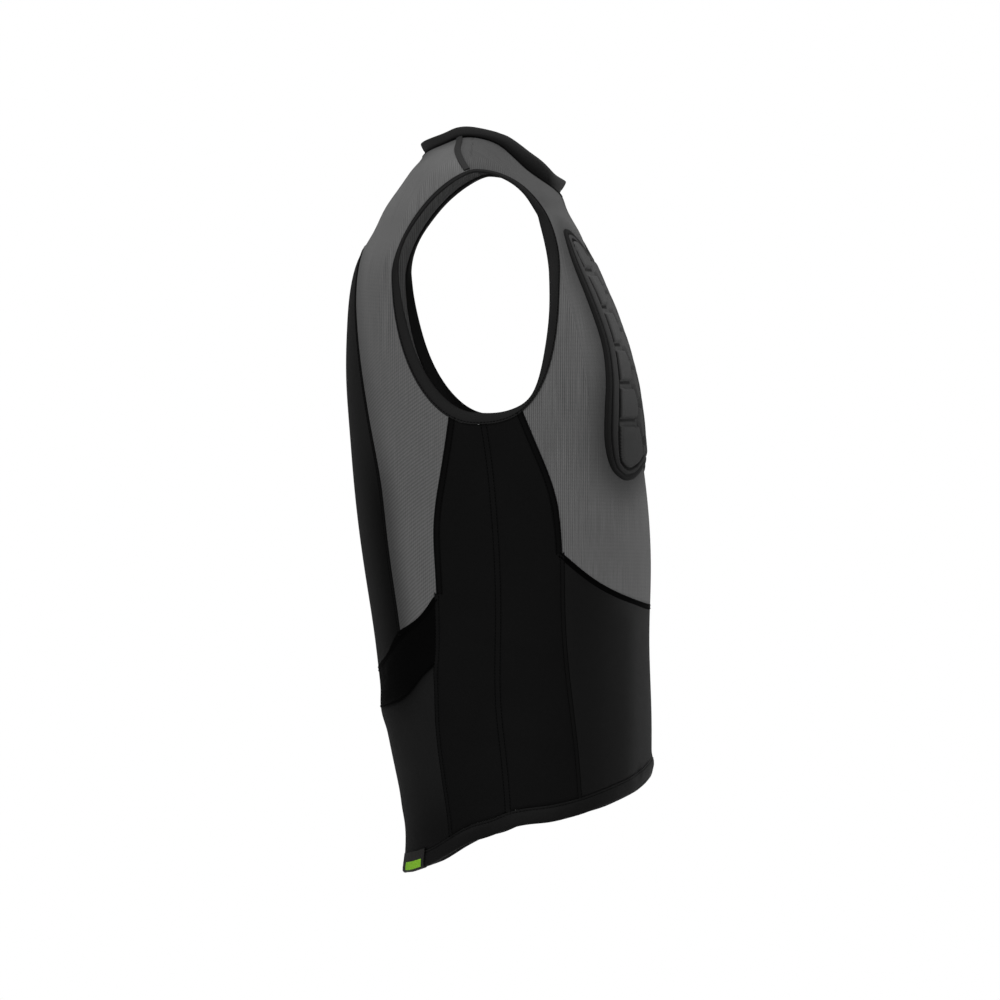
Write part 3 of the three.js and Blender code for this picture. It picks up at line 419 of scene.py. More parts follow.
def flat_places(spots):
    """Places in the flat cloth: the length around at one level, and the length up a line of one turn."""
    turn, z = spots[..., 0], spots[..., 1]
    folded = folded_turn(turn)
    around = np.interp(folded, flat_turns, flat_around)
    around = np.where(turn < 0, -around, np.where(turn > 180, 2 * flat_around[-1] - around, around))
    column = np.clip(folded.astype(int), 0, len(flat_turns) - 2)
    place = np.clip((z - flat_levels[0]) / (flat_levels[1] - flat_levels[0]), 0, len(flat_levels) - 1.001)
    row = place.astype(int)
    share_c, share_r = folded - column, place - row
    upward = (1 - share_c) * (
        (1 - share_r) * flat_upward[column, row] + share_r * flat_upward[column, row + 1]
    ) + share_c * ((1 - share_r) * flat_upward[column + 1, row] + share_r * flat_upward[column + 1, row + 1])
    return np.stack([around, upward], -1) * MM


# Meshes
def grid_quads(index):
    """Quads between neighbouring rows and columns of a grid of vertex numbers."""
    return np.stack([index[:-1, :-1], index[:-1, 1:], index[1:, 1:], index[1:, :-1]], -1).reshape(-1, 4)


def both_halves(half, middle_turn):
    """Places and quads of a panel over a middle line: the right half and its image, joined on that line."""
    spots = half.reshape(-1, 2)
    image = np.stack([2 * middle_turn - spots[:, 0], spots[:, 1]], -1)
    on_middle = np.isclose(spots[:, 0], middle_turn, atol=1e-6)
    index = np.arange(len(spots)).reshape(half.shape[:2])
    twin = np.where(on_middle, index.ravel(), len(spots) + np.cumsum(~on_middle) - 1).reshape(index.shape)
    quads = np.concatenate([grid_quads(index), grid_quads(twin)[:, ::-1]])
    return np.concatenate([spots, image[~on_middle]]), quads


def one_grid(grid):
    """Places and quads of a panel made of one grid."""
    return grid.reshape(-1, 2), grid_quads(np.arange(grid.shape[0] * grid.shape[1]).reshape(grid.shape[:2]))


def new_object(name, data):
    """An object with a mesh, a light or a camera as its data, put into the scene."""
    thing = bpy.data.objects.new(name, data)
    bpy.context.scene.collection.objects.link(thing)
    return thing


def new_piece(name, points, faces, uv, material, nodes=(), marks=None):
    """A mesh object from points in millimetres, faces, a flat place for each vertex and more named pairs of values."""
    mesh = bpy.data.meshes.new(name)
    mesh.from_pydata((points * MM).tolist(), [], faces if isinstance(faces, list) else faces.tolist())
    corners = np.zeros(len(mesh.loops), np.int32)
    mesh.loops.foreach_get("vertex_index", corners)
    for layer, places in {"flat": uv, **(marks or {})}.items():
        mesh.uv_layers.new(name=layer).data.foreach_set("uv", places[corners].astype(np.float32).ravel())
    mesh.polygons.foreach_set("use_smooth", np.ones(len(mesh.polygons), bool))
    mesh.materials.append(material)
    mesh.update()
    piece = new_object(name, mesh)
    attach(piece, "root")
    if nodes:
        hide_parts(*nodes)
    return piece


def wall(points, normals, quads, outer, inner):
    """A closed wall: the sheet lifted to both faces along its normals, and its rim, the edges used once, closed."""
    corners = points[quads]
    facing = np.cross(corners[:, 2] - corners[:, 0], corners[:, 3] - corners[:, 1])
    if np.sum(facing * normals[quads[:, 0]]) < 0:
        quads = quads[:, ::-1]
    count = len(points)
    edges = np.stack([quads, np.roll(quads, -1, axis=1)], -1).reshape(-1, 2)
    ordered = np.sort(edges, axis=1)
    _, first, uses = np.unique(ordered[:, 0] * count + ordered[:, 1], return_index=True, return_counts=True)
    rim = edges[first[uses == 1]]
    rim_quads = np.stack([rim[:, 1], rim[:, 0], rim[:, 0] + count, rim[:, 1] + count], -1)
    faces = np.concatenate([quads, quads[:, ::-1] + count, rim_quads])
    lift = [np.reshape(np.broadcast_to(value, count), (-1, 1)) for value in (outer, inner)]
    return np.concatenate([points + normals * lift[0], points + normals * lift[1]]), faces


# Ribs run with the depth between two depths and with the width inside a half width
RIB_DEPTHS = (-150, 115)
RIB_HALF_WIDTH = 140


def rib_places(points, upward):
    """Places for the ribs, in metres: depth at the sides, width round the front and back, and a length upwards."""
    x, y = np.abs(points[:, 0]), points[:, 1]
    ahead = np.clip(y, *RIB_DEPTHS)
    around = np.minimum(x, RIB_HALF_WIDTH)
    return np.stack([(ahead + np.where(y < 0, around, 2 * RIB_HALF_WIDTH - around)) * MM, upward], -1)


def cloth_panel(name, sheet, thickness, material, node):
    """A panel of cloth on the worn form, half its thickness to each side, and its flat size and area in metres."""
    spots, quads = sheet
    points = on_body(spots)
    normals = body_normal(spots[:, 0], spots[:, 1])
    vertices, faces = wall(points, normals, quads, thickness / 2, -thickness / 2)
    uv = flat_places(spots)
    # Painted shade by place, which the cloth's finish draws into its colour
    deep = painted_shades(node, spots)
    marks = {"ribs": rib_places(points, uv[:, 1]), "painted_shade": np.stack([deep, deep], -1)}
    marks = {layer: np.tile(values, (2, 1)) for layer, values in marks.items()}
    piece = new_piece(name, vertices, faces, np.tile(uv, (2, 1)), material, [node], marks)
    corners = points[quads] * MM
    area = np.linalg.norm(np.cross(corners[:, 2] - corners[:, 0], corners[:, 3] - corners[:, 1]), axis=1).sum() / 2
    width, length = uv.max(0) - uv.min(0)
    return piece, (float(width), float(length)), float(area)


def edge_frames(spots, closed):
    """Point, outward direction and direction across at each place of an edge, by differences along it."""
    points = on_body(spots)
    if closed:
        along = np.roll(points, -1, axis=0) - np.roll(points, 1, axis=0)
    else:
        along = np.gradient(points, axis=0)
    normals = body_normal(spots[:, 0], spots[:, 1])
    return points, normals, unit(np.cross(unit(along), normals))


def path_length(points, closed):
    """Length along a path of points, and its whole length."""
    ahead = np.roll(points, -1, axis=0) if closed else points[1:]
    steps = np.linalg.norm(ahead - points[: len(ahead)], axis=-1)
    length = np.append(0, np.cumsum(steps))
    return length[: len(points)], length[-1]


def evenly(spots, pitch, closed=False):
    """Places at an even pitch along an edge, by its length on the body."""
    if closed:
        spots = np.concatenate([spots, spots[:1]])
    length, whole = path_length(on_body(spots), False)
    count = max(2, round(whole / pitch))
    wanted = np.linspace(0, whole, count + 1)
    wanted = wanted[:-1] if closed else wanted
    return np.stack([np.interp(wanted, length, column) for column in spots.T], -1)


def carried(rows, closed):
    """A closed profile carried along a path: rows holds the profile's points at each place of the path."""
    places, size = rows.shape[:2]
    index = np.arange(places * size).reshape(places, size)
    index = np.concatenate([index, index[:, :1]], axis=1)
    if closed:
        index = np.concatenate([index, index[:1]])
    faces = grid_quads(index).tolist()
    if not closed:
        faces += [index[0, :-1].tolist(), index[-1, -2::-1].tolist()]
    return rows.reshape(-1, 3), faces


def outward_faces(points, faces):
    """Faces turned so that the closed shape they bound has a positive volume."""
    quads = np.array([face for face in faces if len(face) == 4])
    a, b, c, d = (points[quads[:, k]] for k in range(4))
    volume = np.sum(np.cross(a, b) * c) + np.sum(np.cross(a, c) * d)
    return faces if volume > 0 else [face[::-1] for face in faces]


def band_piece(name, rows, closed, material, nodes=()):
    """A band made from a carried profile, with lengths along and around it as its flat places, in metres."""
    points, faces = carried(rows, closed)
    along, _ = path_length(rows.mean(axis=1), closed)
    around, _ = path_length(rows[len(rows) // 2], False)
    uv = np.stack(np.broadcast_arrays(along[:, None], around[None]), -1).reshape(-1, 2) * MM
    return new_piece(name, points, outward_faces(points, faces), uv, material, nodes)


def strip_rows(spots, profile, closed=False):
    """Rows of a profile laid along an edge: its first column runs across the edge, its second out of the cloth.

    The profile is the same all along the edge, or has rows of its own for each place.
    """
    points, normals, across = edge_frames(spots, closed)
    profile = np.asarray(profile, float)
    return points[:, None] + across[:, None] * profile[..., :1] + normals[:, None] * profile[..., 1:]


def left_of(spots):
    """The image of places on the other half."""
    return spots * np.array([-1, 1])


# Values of the finishes, lengths in metres. Rib knit: pitches, and weights of course, rib and streak in its shade
RIB_PITCH = 0.0019
COURSE_PITCH = 0.0013
COURSE_SHADE = 0.22
RIB_SHADE = 0.32
STREAK_SHADE = 0.25
# Streaks: their scale across, along and out of the ribs, and the part of the noise that they span
STREAK_SCALE = (1250, 16, 1)
STREAK_NOISE = (0.32, 0.68)

# Pitch of the wales of jersey and bands
WALE_PITCH = 0.0009
BAND_WALE_PITCH = 0.0011

# Scale of the unevenness of each cloth
MESH_UNEVEN = 16.0
JERSEY_UNEVEN = 22.0
PAD_UNEVEN = 30.0
BAND_UNEVEN = 40.0
THREAD_UNEVEN = 120.0

# Greys of the mesh, its even shade, and how far painted shade draws mesh and jersey towards black
MESH_GREYS = (0.012, 0.096)
MESH_EVEN_SHADE = 0.35
MESH_PAINTED_SHADE = 0.75
JERSEY_PAINTED_SHADE = 0.85

# Slanting courses of the mesh low on the back: pitch, slope, the ways down and back where they set in, their weight
# in the shade, and the share of the ribs that they take over
HATCH_PITCH = 0.0034
HATCH_SLOPE = 0.577
HATCH_Z = (-0.15, -0.23)
HATCH_Y = (0.0, 0.04)
HATCH_SHADE = 0.22
HATCH_SHARE = 0.7

# Collar, with painted light: where its painted lit part starts above its foot, painted black in shade, and by depth
# where that ends, where its front gets a painted highlight, and its greys
COLLAR_LIT_START = 0.0015
COLLAR_LIT_ENDS = (0.0, -0.06, 0.004, 0.013)
COLLAR_PAINTED_HIGHLIGHT = (-0.071, -0.08)
COLLAR_GREYS = (0.0012, 0.034)

# Shades of the pad by the distance inside its rim: flange, groove, rib, slot and cells. The black of the groove, the
# slot and the cells' walls is painted shade in these recesses
PAD_SHADE_WIDTH = 60
PAD_SHADES = [
    (0, 0.08), (6.5, 0.09), (7.8, 0.02), (10, 0.02), (11.5, 0.5), (17, 0.55), (18.2, 0.02), (22.5, 0.02), (23.5, 0.9),
    (PAD_SHADE_WIDTH, 0.9),
]
# Its painted top light by height, from the foot to the chest, how dark the painted shade lines under its cells are, and
# its lightest grey
PAD_PAINTED_TOP_LIGHT = (-0.27, -0.13, 0.46, 1.3)
PAD_LINE_DARK = -0.93
PAD_LIGHT = 0.042

# Tag: the green block along it and around its fold, pitches of weft and warp, and its colours
TAG_BLOCK_X = (0.0055, 0.0535)
TAG_BLOCK_Y = (0.0098, 0.0176)
TAG_WEFT = 0.0007
TAG_WARP = 0.0006
TAG_GROUND = (0.009, 0.0086, 0.0082)
TAG_GREEN = (0.19, 0.43, 0.02)


# Materials
def put(tree, kind, inputs=None, **settings):
    """A new node with settings, its inputs set to a value or linked to a socket."""
    node = tree.nodes.new(kind)
    for name, value in settings.items():
        setattr(node, name, value)
    for name, value in (inputs or {}).items():
        if isinstance(value, bpy.types.NodeSocket):
            tree.links.new(value, node.inputs[name])
        else:
            node.inputs[name].default_value = value
    return node


def compute(tree, operation, *values):
    """The result of a Math node on values or sockets."""
    return put(tree, "ShaderNodeMath", dict(enumerate(values)), operation=operation).outputs[0]


def new_group(name, inputs, outputs):
    """An empty shader node group with named inputs, given with their kind and value, and named float outputs."""
    tree = bpy.data.node_groups.new(name, "ShaderNodeTree")
    for label, kind, value in inputs:
        socket = tree.interface.new_socket(label, in_out="INPUT", socket_type=kind)
        if value is not None:
            socket.default_value = value
    for label in outputs:
        tree.interface.new_socket(label, in_out="OUTPUT", socket_type="NodeSocketFloat")
    return tree, tree.nodes.new("NodeGroupInput").outputs, tree.nodes.new("NodeGroupOutput").inputs


def wave(tree, value, pitch):
    """A wave from 0 to 1 with a pitch: half of one plus the sine of the full turns in value over pitch."""
    turns = compute(tree, "DIVIDE", value, pitch)
    sine = compute(tree, "SINE", compute(tree, "MULTIPLY", turns, 2 * np.pi))
    return compute(tree, "MULTIPLY_ADD", sine, 0.5, 0.5)


def parts(tree, vector):
    """The X, Y and Z of a vector."""
    return put(tree, "ShaderNodeSeparateXYZ", {0: vector}).outputs


def span(tree, value, start, end, low=0.0, high=1.0):
    """A value between a start and an end carried over to the way from low to high, and held at its ends."""
    ways = {"Value": value, "From Min": start, "From Max": end, "To Min": low, "To Max": high}
    return put(tree, "ShaderNodeMapRange", ways).outputs[0]


def rib_knit_group():
    """Fine ribs up the cloth, cut by courses across it, and long uneven streaks along the ribs."""
    tree, given, out = new_group(
        "rib_knit",
        [("Flat", "NodeSocketVector", None), ("Rib Pitch", "NodeSocketFloat", RIB_PITCH),
         ("Course Pitch", "NodeSocketFloat", COURSE_PITCH)],
        ["Height", "Shade"],
    )
    place = parts(tree, given["Flat"])
    rib = wave(tree, place["X"], given["Rib Pitch"])
    course = wave(tree, place["Y"], given["Course Pitch"])
    stretched = put(tree, "ShaderNodeMapping", {"Vector": given["Flat"], "Scale": STREAK_SCALE})
    noise = put(tree, "ShaderNodeTexNoise", {"Vector": stretched.outputs[0], "Scale": 1, "Detail": 2}).outputs["Fac"]
    streaks = span(tree, noise, *STREAK_NOISE)
    tree.links.new(compute(tree, "MULTIPLY_ADD", course, 0.35, rib), out["Height"])
    woven = compute(tree, "MULTIPLY_ADD", course, COURSE_SHADE, compute(tree, "MULTIPLY", rib, RIB_SHADE))
    tree.links.new(compute(tree, "MULTIPLY_ADD", streaks, STREAK_SHADE, woven), out["Shade"])
    return tree


def jersey_knit_group():
    """Plain jersey: fine wales up the cloth whose loops lean to each side by turns."""
    tree, given, out = new_group(
        "jersey_knit",
        [("Flat", "NodeSocketVector", None), ("Wale Pitch", "NodeSocketFloat", WALE_PITCH)],
        ["Height"],
    )
    place = parts(tree, given["Flat"])
    wale = wave(tree, place["X"], given["Wale Pitch"])
    lean = compute(tree, "PINGPONG", place["X"], given["Wale Pitch"])
    course = wave(tree, compute(tree, "ADD", place["Y"], lean), given["Wale Pitch"])
    tree.links.new(compute(tree, "MULTIPLY_ADD", course, 0.6, wale), out["Height"])
    return tree


def uneven_group():
    """Slow unevenness of dye and nap over the cloth, from two noises of different size."""
    tree, given, out = new_group(
        "uneven",
        [("Place", "NodeSocketVector", None), ("Size", "NodeSocketFloat", JERSEY_UNEVEN)],
        ["Amount"],
    )
    wide = put(tree, "ShaderNodeTexNoise", {"Vector": given["Place"], "Scale": given["Size"], "Detail": 3})
    finer = compute(tree, "MULTIPLY", given["Size"], 14.0)
    fine = put(tree, "ShaderNodeTexNoise", {"Vector": given["Place"], "Scale": finer, "Detail": 2})
    half = compute(tree, "MULTIPLY", fine.outputs["Fac"], 0.4)
    tree.links.new(compute(tree, "MULTIPLY_ADD", wide.outputs["Fac"], 0.6, half), out["Amount"])
    return tree


RIB_KNIT = rib_knit_group()
JERSEY_KNIT = jersey_knit_group()
UNEVEN = uneven_group()


class Finish:
    """A cloth finish: its Principled shader, and short ways to reach its places and groups."""

    def __init__(self, name, **constants):
        self.material = bpy.data.materials.new(name)
        self.material.use_nodes = True
        self.tree = self.material.node_tree
        self.shader = self.tree.nodes["Principled BSDF"]
        for socket, value in constants.items():
            self.shader.inputs[socket.replace("_", " ")].default_value = value

    def flat(self, layer="flat"):
        return put(self.tree, "ShaderNodeUVMap", uv_map=layer).outputs[0]

    def place(self):
        return put(self.tree, "ShaderNodeTexCoord").outputs["Object"]

    def group(self, tree, **inputs):
        values = {name.replace("_", " "): value for name, value in inputs.items()}
        return put(self.tree, "ShaderNodeGroup", values, node_tree=tree).outputs

    def uneven(self, size):
        """Slow unevenness, finer with a larger size."""
        return self.group(UNEVEN, Place=self.place(), Size=size)["Amount"]

    def colour(self, amount, dark, light):
        """Base colour between two greys or colours by an amount."""
        mix = put(self.tree, "ShaderNodeMix", data_type="RGBA")
        self.tree.links.new(amount, mix.inputs["Factor"])
        mix.inputs[6].default_value = (*dark, 1)
        mix.inputs[7].default_value = (*light, 1)
        self.tree.links.new(mix.outputs[2], self.shader.inputs["Base Color"])
        return mix

    def paint_shade(self, mix, share):
        """Base colour drawn towards black by a share of the painted shade of its place."""
        deep = parts(self.tree, self.flat("painted_shade"))["X"]
        drawn = {"Factor": compute(self.tree, "MULTIPLY", deep, share), 6: mix.outputs[2], 7: (0, 0, 0, 1)}
        black = put(self.tree, "ShaderNodeMix", drawn, data_type="RGBA")
        self.tree.links.new(black.outputs[2], self.shader.inputs["Base Color"])

    def roughness(self, amount, low, high):
        """Roughness between two values by an amount."""
        self.tree.links.new(span(self.tree, amount, 0.0, 1.0, low, high), self.shader.inputs["Roughness"])

    def bump(self, height, strength, distance):
        """Relief from a height."""
        node = put(self.tree, "ShaderNodeBump", {"Height": height, "Strength": strength, "Distance": distance})
        self.tree.links.new(node.outputs[0], self.shader.inputs["Normal"])


def grey(value):
    return (value, value, value)


def mesh_finish():
    """Matt grey rib knit: two greys by rib, course and streak, with slanting courses low on the back, and painted shade
    drawn into its colour.
    """
    finish = Finish("grey_mesh", Specular_IOR_Level=0.12, Sheen_Weight=0.04, Sheen_Roughness=0.5)
    tree, flat, place = finish.tree, finish.flat(), finish.place()
    knit = finish.group(RIB_KNIT, Flat=finish.flat("ribs"))
    uneven = finish.uneven(MESH_UNEVEN)
    spot, where = parts(tree, flat), parts(tree, place)
    slanting = wave(tree, compute(tree, "MULTIPLY_ADD", spot["X"], HATCH_SLOPE, spot["Y"]), HATCH_PITCH)
    hatched = compute(tree, "MULTIPLY", span(tree, where["Z"], *HATCH_Z), span(tree, where["Y"], *HATCH_Y))
    hatch = compute(tree, "MULTIPLY", compute(tree, "SUBTRACT", slanting, 0.5), hatched)
    fewer = compute(tree, "MULTIPLY", hatched, HATCH_SHARE)
    ribbed = put(tree, "ShaderNodeMix", {"Factor": fewer, "A": knit["Shade"], "B": MESH_EVEN_SHADE})
    knitted = compute(tree, "MULTIPLY_ADD", hatch, HATCH_SHADE, ribbed.outputs[0])
    amount = compute(tree, "MULTIPLY_ADD", uneven, 0.25, knitted)
    finish.paint_shade(finish.colour(amount, *map(grey, MESH_GREYS)), MESH_PAINTED_SHADE)
    finish.roughness(uneven, 0.78, 0.92)
    finish.bump(knit["Height"], 0.5, 0.0004)
    return finish.material


def jersey_finish(name, dark, light, shine, roughness):
    """Smooth stretch jersey with a soft shine, a barely uneven dye and painted shade drawn into its colour."""
    finish = Finish(name, Specular_IOR_Level=shine)
    uneven = finish.uneven(JERSEY_UNEVEN)
    finish.paint_shade(finish.colour(uneven, grey(dark), grey(light)), JERSEY_PAINTED_SHADE)
    finish.roughness(uneven, roughness - 0.06, roughness + 0.06)
    finish.bump(finish.group(JERSEY_KNIT, Flat=finish.flat())["Height"], 0.3, 0.00015)
    return finish.material


def band_finish(name, dark, light):
    """Folded elastic knit band with ribs along it."""
    finish = Finish(name, Specular_IOR_Level=0.05)
    uneven = finish.uneven(BAND_UNEVEN)
    knit = finish.group(JERSEY_KNIT, Flat=finish.flat(), Wale_Pitch=BAND_WALE_PITCH)
    amount = compute(finish.tree, "MULTIPLY_ADD", knit["Height"], 0.2, uneven)
    finish.colour(amount, grey(dark), grey(light))
    finish.roughness(uneven, 0.6, 0.76)
    finish.bump(knit["Height"], 0.35, 0.0002)
    return finish.material


def collar_finish():
    """Folded knit collar with painted light: lit dark grey along its top, black in painted shade at its foot, more so
    towards the front, and a painted highlight at the front.
    """
    finish = Finish("collar_cloth", Specular_IOR_Level=0.05)
    tree, flat, place = finish.tree, finish.flat(), finish.place()
    uneven = finish.uneven(BAND_UNEVEN)
    knit = finish.group(JERSEY_KNIT, Flat=flat, Wale_Pitch=BAND_WALE_PITCH)
    climb, depth = parts(tree, flat)["Y"], parts(tree, place)["Y"]
    # Painted light: lit along the top, painted shade at the foot, and a painted highlight at the front
    lit = span(tree, climb, COLLAR_LIT_START, span(tree, depth, *COLLAR_LIT_ENDS))
    painted_highlight = span(tree, depth, *COLLAR_PAINTED_HIGHLIGHT)
    varied = compute(tree, "MULTIPLY_ADD", uneven, 0.5, 0.75)
    amount = compute(tree, "MULTIPLY_ADD", painted_highlight, 0.6, compute(tree, "MULTIPLY", lit, 0.32))
    finish.colour(compute(tree, "MULTIPLY", amount, varied), *map(grey, COLLAR_GREYS))
    finish.roughness(uneven, 0.6, 0.76)
    finish.bump(knit["Height"], 0.35, 0.0002)
    return finish.material


def pad_finish():
    """Cloth-faced moulded foam: fine grain over a matt dark grey, with painted shade in its recesses and under its
    cells, and painted top light that leaves it darker towards its foot.
    """
    finish = Finish("pad_foam", Specular_IOR_Level=0.06)
    tree, place = finish.tree, finish.place()
    uneven = finish.uneven(PAD_UNEVEN)
    grain = put(tree, "ShaderNodeTexNoise", {"Vector": place, "Scale": 1400, "Detail": 2}).outputs["Fac"]
    inside, under = parts(tree, finish.flat("relief"))[:2]
    reach = compute(tree, "DIVIDE", inside, PAD_SHADE_WIDTH * MM)
    # Greys by the distance inside the rim, with painted shade black in the groove, the slot and the cells' walls
    shade = put(tree, "ShaderNodeValToRGB", {"Fac": reach})
    stops = shade.color_ramp.elements
    for distance, _ in PAD_SHADES[1:-1]:
        stops.new(distance / PAD_SHADE_WIDTH)
    for stop, (distance, level) in zip(stops, PAD_SHADES):
        stop.position, stop.color = distance / PAD_SHADE_WIDTH, (level, level, level, 1)
    # Painted top light: lighter towards the chest, darker towards the foot
    painted_top_light = span(tree, parts(tree, place)["Z"], *PAD_PAINTED_TOP_LIGHT)
    varied = compute(tree, "MULTIPLY", painted_top_light, compute(tree, "MULTIPLY_ADD", uneven, 0.5, 0.75))
    # Painted shade in a line under each cell
    lined = compute(tree, "MULTIPLY", varied, compute(tree, "MULTIPLY_ADD", under, PAD_LINE_DARK, 1.0))
    finish.colour(compute(tree, "MULTIPLY", shade.outputs["Color"], lined), grey(0.0), grey(PAD_LIGHT))
    finish.roughness(uneven, 0.62, 0.78)
    finish.bump(grain, 0.25, 0.0003)
    return finish.material


def thread_finish():
    """Black polyester thread and seam tape."""
    finish = Finish("black_thread", Specular_IOR_Level=0.004)
    uneven = finish.uneven(THREAD_UNEVEN)
    finish.colour(uneven, grey(0.0004), grey(0.001))
    finish.roughness(uneven, 0.5, 0.7)
    return finish.material


def tag_finish():
    """Woven tag: a dark ground with one plain green block, set by its flat places, both cut by weft lines."""
    finish = Finish("tag_weave", Specular_IOR_Level=0.05)
    tree = finish.tree
    place = parts(tree, finish.flat())

    def inside(value, low, high):
        above = compute(tree, "GREATER_THAN", value, low)
        return compute(tree, "MULTIPLY", above, compute(tree, "LESS_THAN", value, high))

    block = compute(tree, "MULTIPLY", inside(place["X"], *TAG_BLOCK_X), inside(place["Y"], *TAG_BLOCK_Y))
    weave = compute(tree, "MULTIPLY", wave(tree, place["Y"], TAG_WEFT), wave(tree, place["X"], TAG_WARP))
    amount = compute(tree, "MULTIPLY", block, compute(tree, "MULTIPLY_ADD", weave, 0.45, 0.55))
    finish.colour(amount, TAG_GROUND, TAG_GREEN)
    finish.roughness(weave, 0.6, 0.75)
    finish.bump(weave, 0.5, 0.0002)
    return finish.material


# The finishes. A jersey has a dark and a light grey, a shine and a roughness, a band two greys
MESH = mesh_finish()
BLACK = jersey_finish("black_jersey", 0.0018, 0.003, 0.013, 0.58)
SHINY = jersey_finish("shiny_jersey", 0.0006, 0.0012, 0.056, 0.54)
CHARCOAL = jersey_finish("charcoal_jersey", 0.004, 0.0065, 0.018, 0.58)
# Black jersey of the lumbar band, made darker than the sides' black as painted shade of the lumbar fold
PAINTED_SHADE_LUMBAR = jersey_finish("lumbar_jersey_painted_shade", 0.0006, 0.0012, 0.005, 0.6)
SEAM = jersey_finish("seam_jersey", 0.0012, 0.002, 0.009, 0.6)
COLLAR = collar_finish()
BINDING = band_finish("binding_cloth", 0.0028, 0.006)
TAPE = band_finish("tape_cloth", 0.009, 0.015)
PAD = pad_finish()
THREAD = thread_finish()
TAG = tag_finish()


# Outline of the chest pad, one half from its scooped top round to its lobed foot: turn, z
PAD_OUTLINE = np.array([
    (0, -93), (10.9, -89.5), (20.8, -80), (28.8, -72), (34.3, -75), (35.4, -94), (33.2, -135), (32.9, -178),
    (35.9, -210), (39.9, -243), (42.1, -275), (40.2, -298), (34.1, -308.5), (26.3, -308), (16.8, -302), (8.2, -297),
    (0, -295.5),
])


def pad_outline(shares):
    """Places on the pad's outline: a closed Hermite curve by chord length, read at shares of its length."""
    loop = np.concatenate([PAD_OUTLINE, left_of(PAD_OUTLINE[-2:0:-1])])
    scaled = loop * FLAT_SCALE
    chord = np.linalg.norm(np.roll(scaled, -1, axis=0) - scaled, axis=1)
    slope = (np.roll(loop, -1, axis=0) - np.roll(loop, 1, axis=0)) / (chord + np.roll(chord, 1))[:, None]
    start = np.append(0, np.cumsum(chord))
    place = np.mod(shares, 1) * start[-1]
    k = np.clip(np.searchsorted(start, place, side="right") - 1, 0, len(loop) - 1)
    after = (k + 1) % len(loop)
    t = ((place - start[k]) / chord[k])[..., None]
    return (
        loop[k] * (1 + 2 * t) * (1 - t) ** 2 + slope[k] * chord[k][..., None] * t * (1 - t) ** 2
        + loop[after] * t**2 * (3 - 2 * t) + slope[after] * chord[k][..., None] * t**2 * (t - 1)
    )


def smooth_step(value):
    value = np.clip(value, 0, 1)
    return value * value * (3 - 2 * value)


# Painted shade by the pad's rim and under the collar: depth and reach
PAD_RIM_PLACES = 121
PAD_RIM_SHADE = (0.88, 24)
COLLAR_SHADE = {"front_mesh": (0.98, 20), "back_mesh": (0.85, 22)}

# Painted shade over the front shoulders: depth, the height where it starts, and the rise to its full depth
SHOULDER_SHADE = (0.66, -140, 125)

# Painted shade along the back panel's edge on both sides of it: depth at the top, gain downwards, and reach, then the
# height where the gain starts, and the drop to its full depth
EDGE_SHADES = {"back_mesh": (0.45, 0.4, 30), "back_panel": (0.0, 0.95, 55)}
EDGE_SHADE_Z = -250
EDGE_SHADE_DROP = 100

# Painted shade under the lumbar band: its reach by the side seam, and gain in reach for each degree past a turn
LUMBAR_SHADE = (3, 0.3, 118)

# Painted shade down the tail: depth, the height where it starts, and the drop to its full depth
TAIL_SHADE = (0.55, -575, 70)


def painted_shades(node, spots):
    """How deep a panel's places lie in painted shade, from 0 to 1: by the pad, the collar, the back panel's edge and
    the tail. The shade is painted into the cloth's colour.

    Formula: the largest of a bell curve or a smooth step of the distance to the rim, collar or edge, a falling
    exponential of the distance under the lumbar band, and smooth steps up the shoulders and down the tail.
    """
    z = spots[:, 1]
    folded = folded_turn(spots[:, 0])
    points = on_body(np.stack([folded, z], -1))

    def away(edge):
        return np.linalg.norm(points[:, None] - on_body(edge)[None], axis=-1).min(axis=1)

    def bell(edge, depth, reach):
        return depth * np.exp(-((away(edge) / reach) ** 2))

    shades = [np.zeros(len(spots))]
    if node == "front_mesh":
        depth, low, rise = SHOULDER_SHADE
        right_rim = pad_outline(np.linspace(0, 0.5, PAD_RIM_PLACES))
        shades += [
            bell(right_rim, *PAD_RIM_SHADE), bell(neck_front, *COLLAR_SHADE[node]),
            depth * smooth_step((z - low) / rise),
        ]
    if node == "back_mesh":
        shades.append(bell(neck_back, *COLLAR_SHADE[node]))
    if node in EDGE_SHADES:
        top, gain, reach = EDGE_SHADES[node]
        depth = top + gain * smooth_step((EDGE_SHADE_Z - z) / EDGE_SHADE_DROP)
        shades.append(depth * (1 - smooth_step(away(panel_side) / reach)))
    if node == "lower_back":
        reach, gain, past = LUMBAR_SHADE
        under = np.maximum(lumbar_low_at(folded)[..., 0] - z, 0)
        depth, high, drop = TAIL_SHADE
        shades += [
            np.exp(-under / (reach + gain * np.maximum(folded - past, 0))), depth * smooth_step((high - z) / drop),
        ]
    return np.max(shades, axis=0)


# Cloth panels
def middle_line(foot, head, steps):
    """The middle line of a panel, from its foot up to its head."""
    return mixed(foot[-1], head, steps)


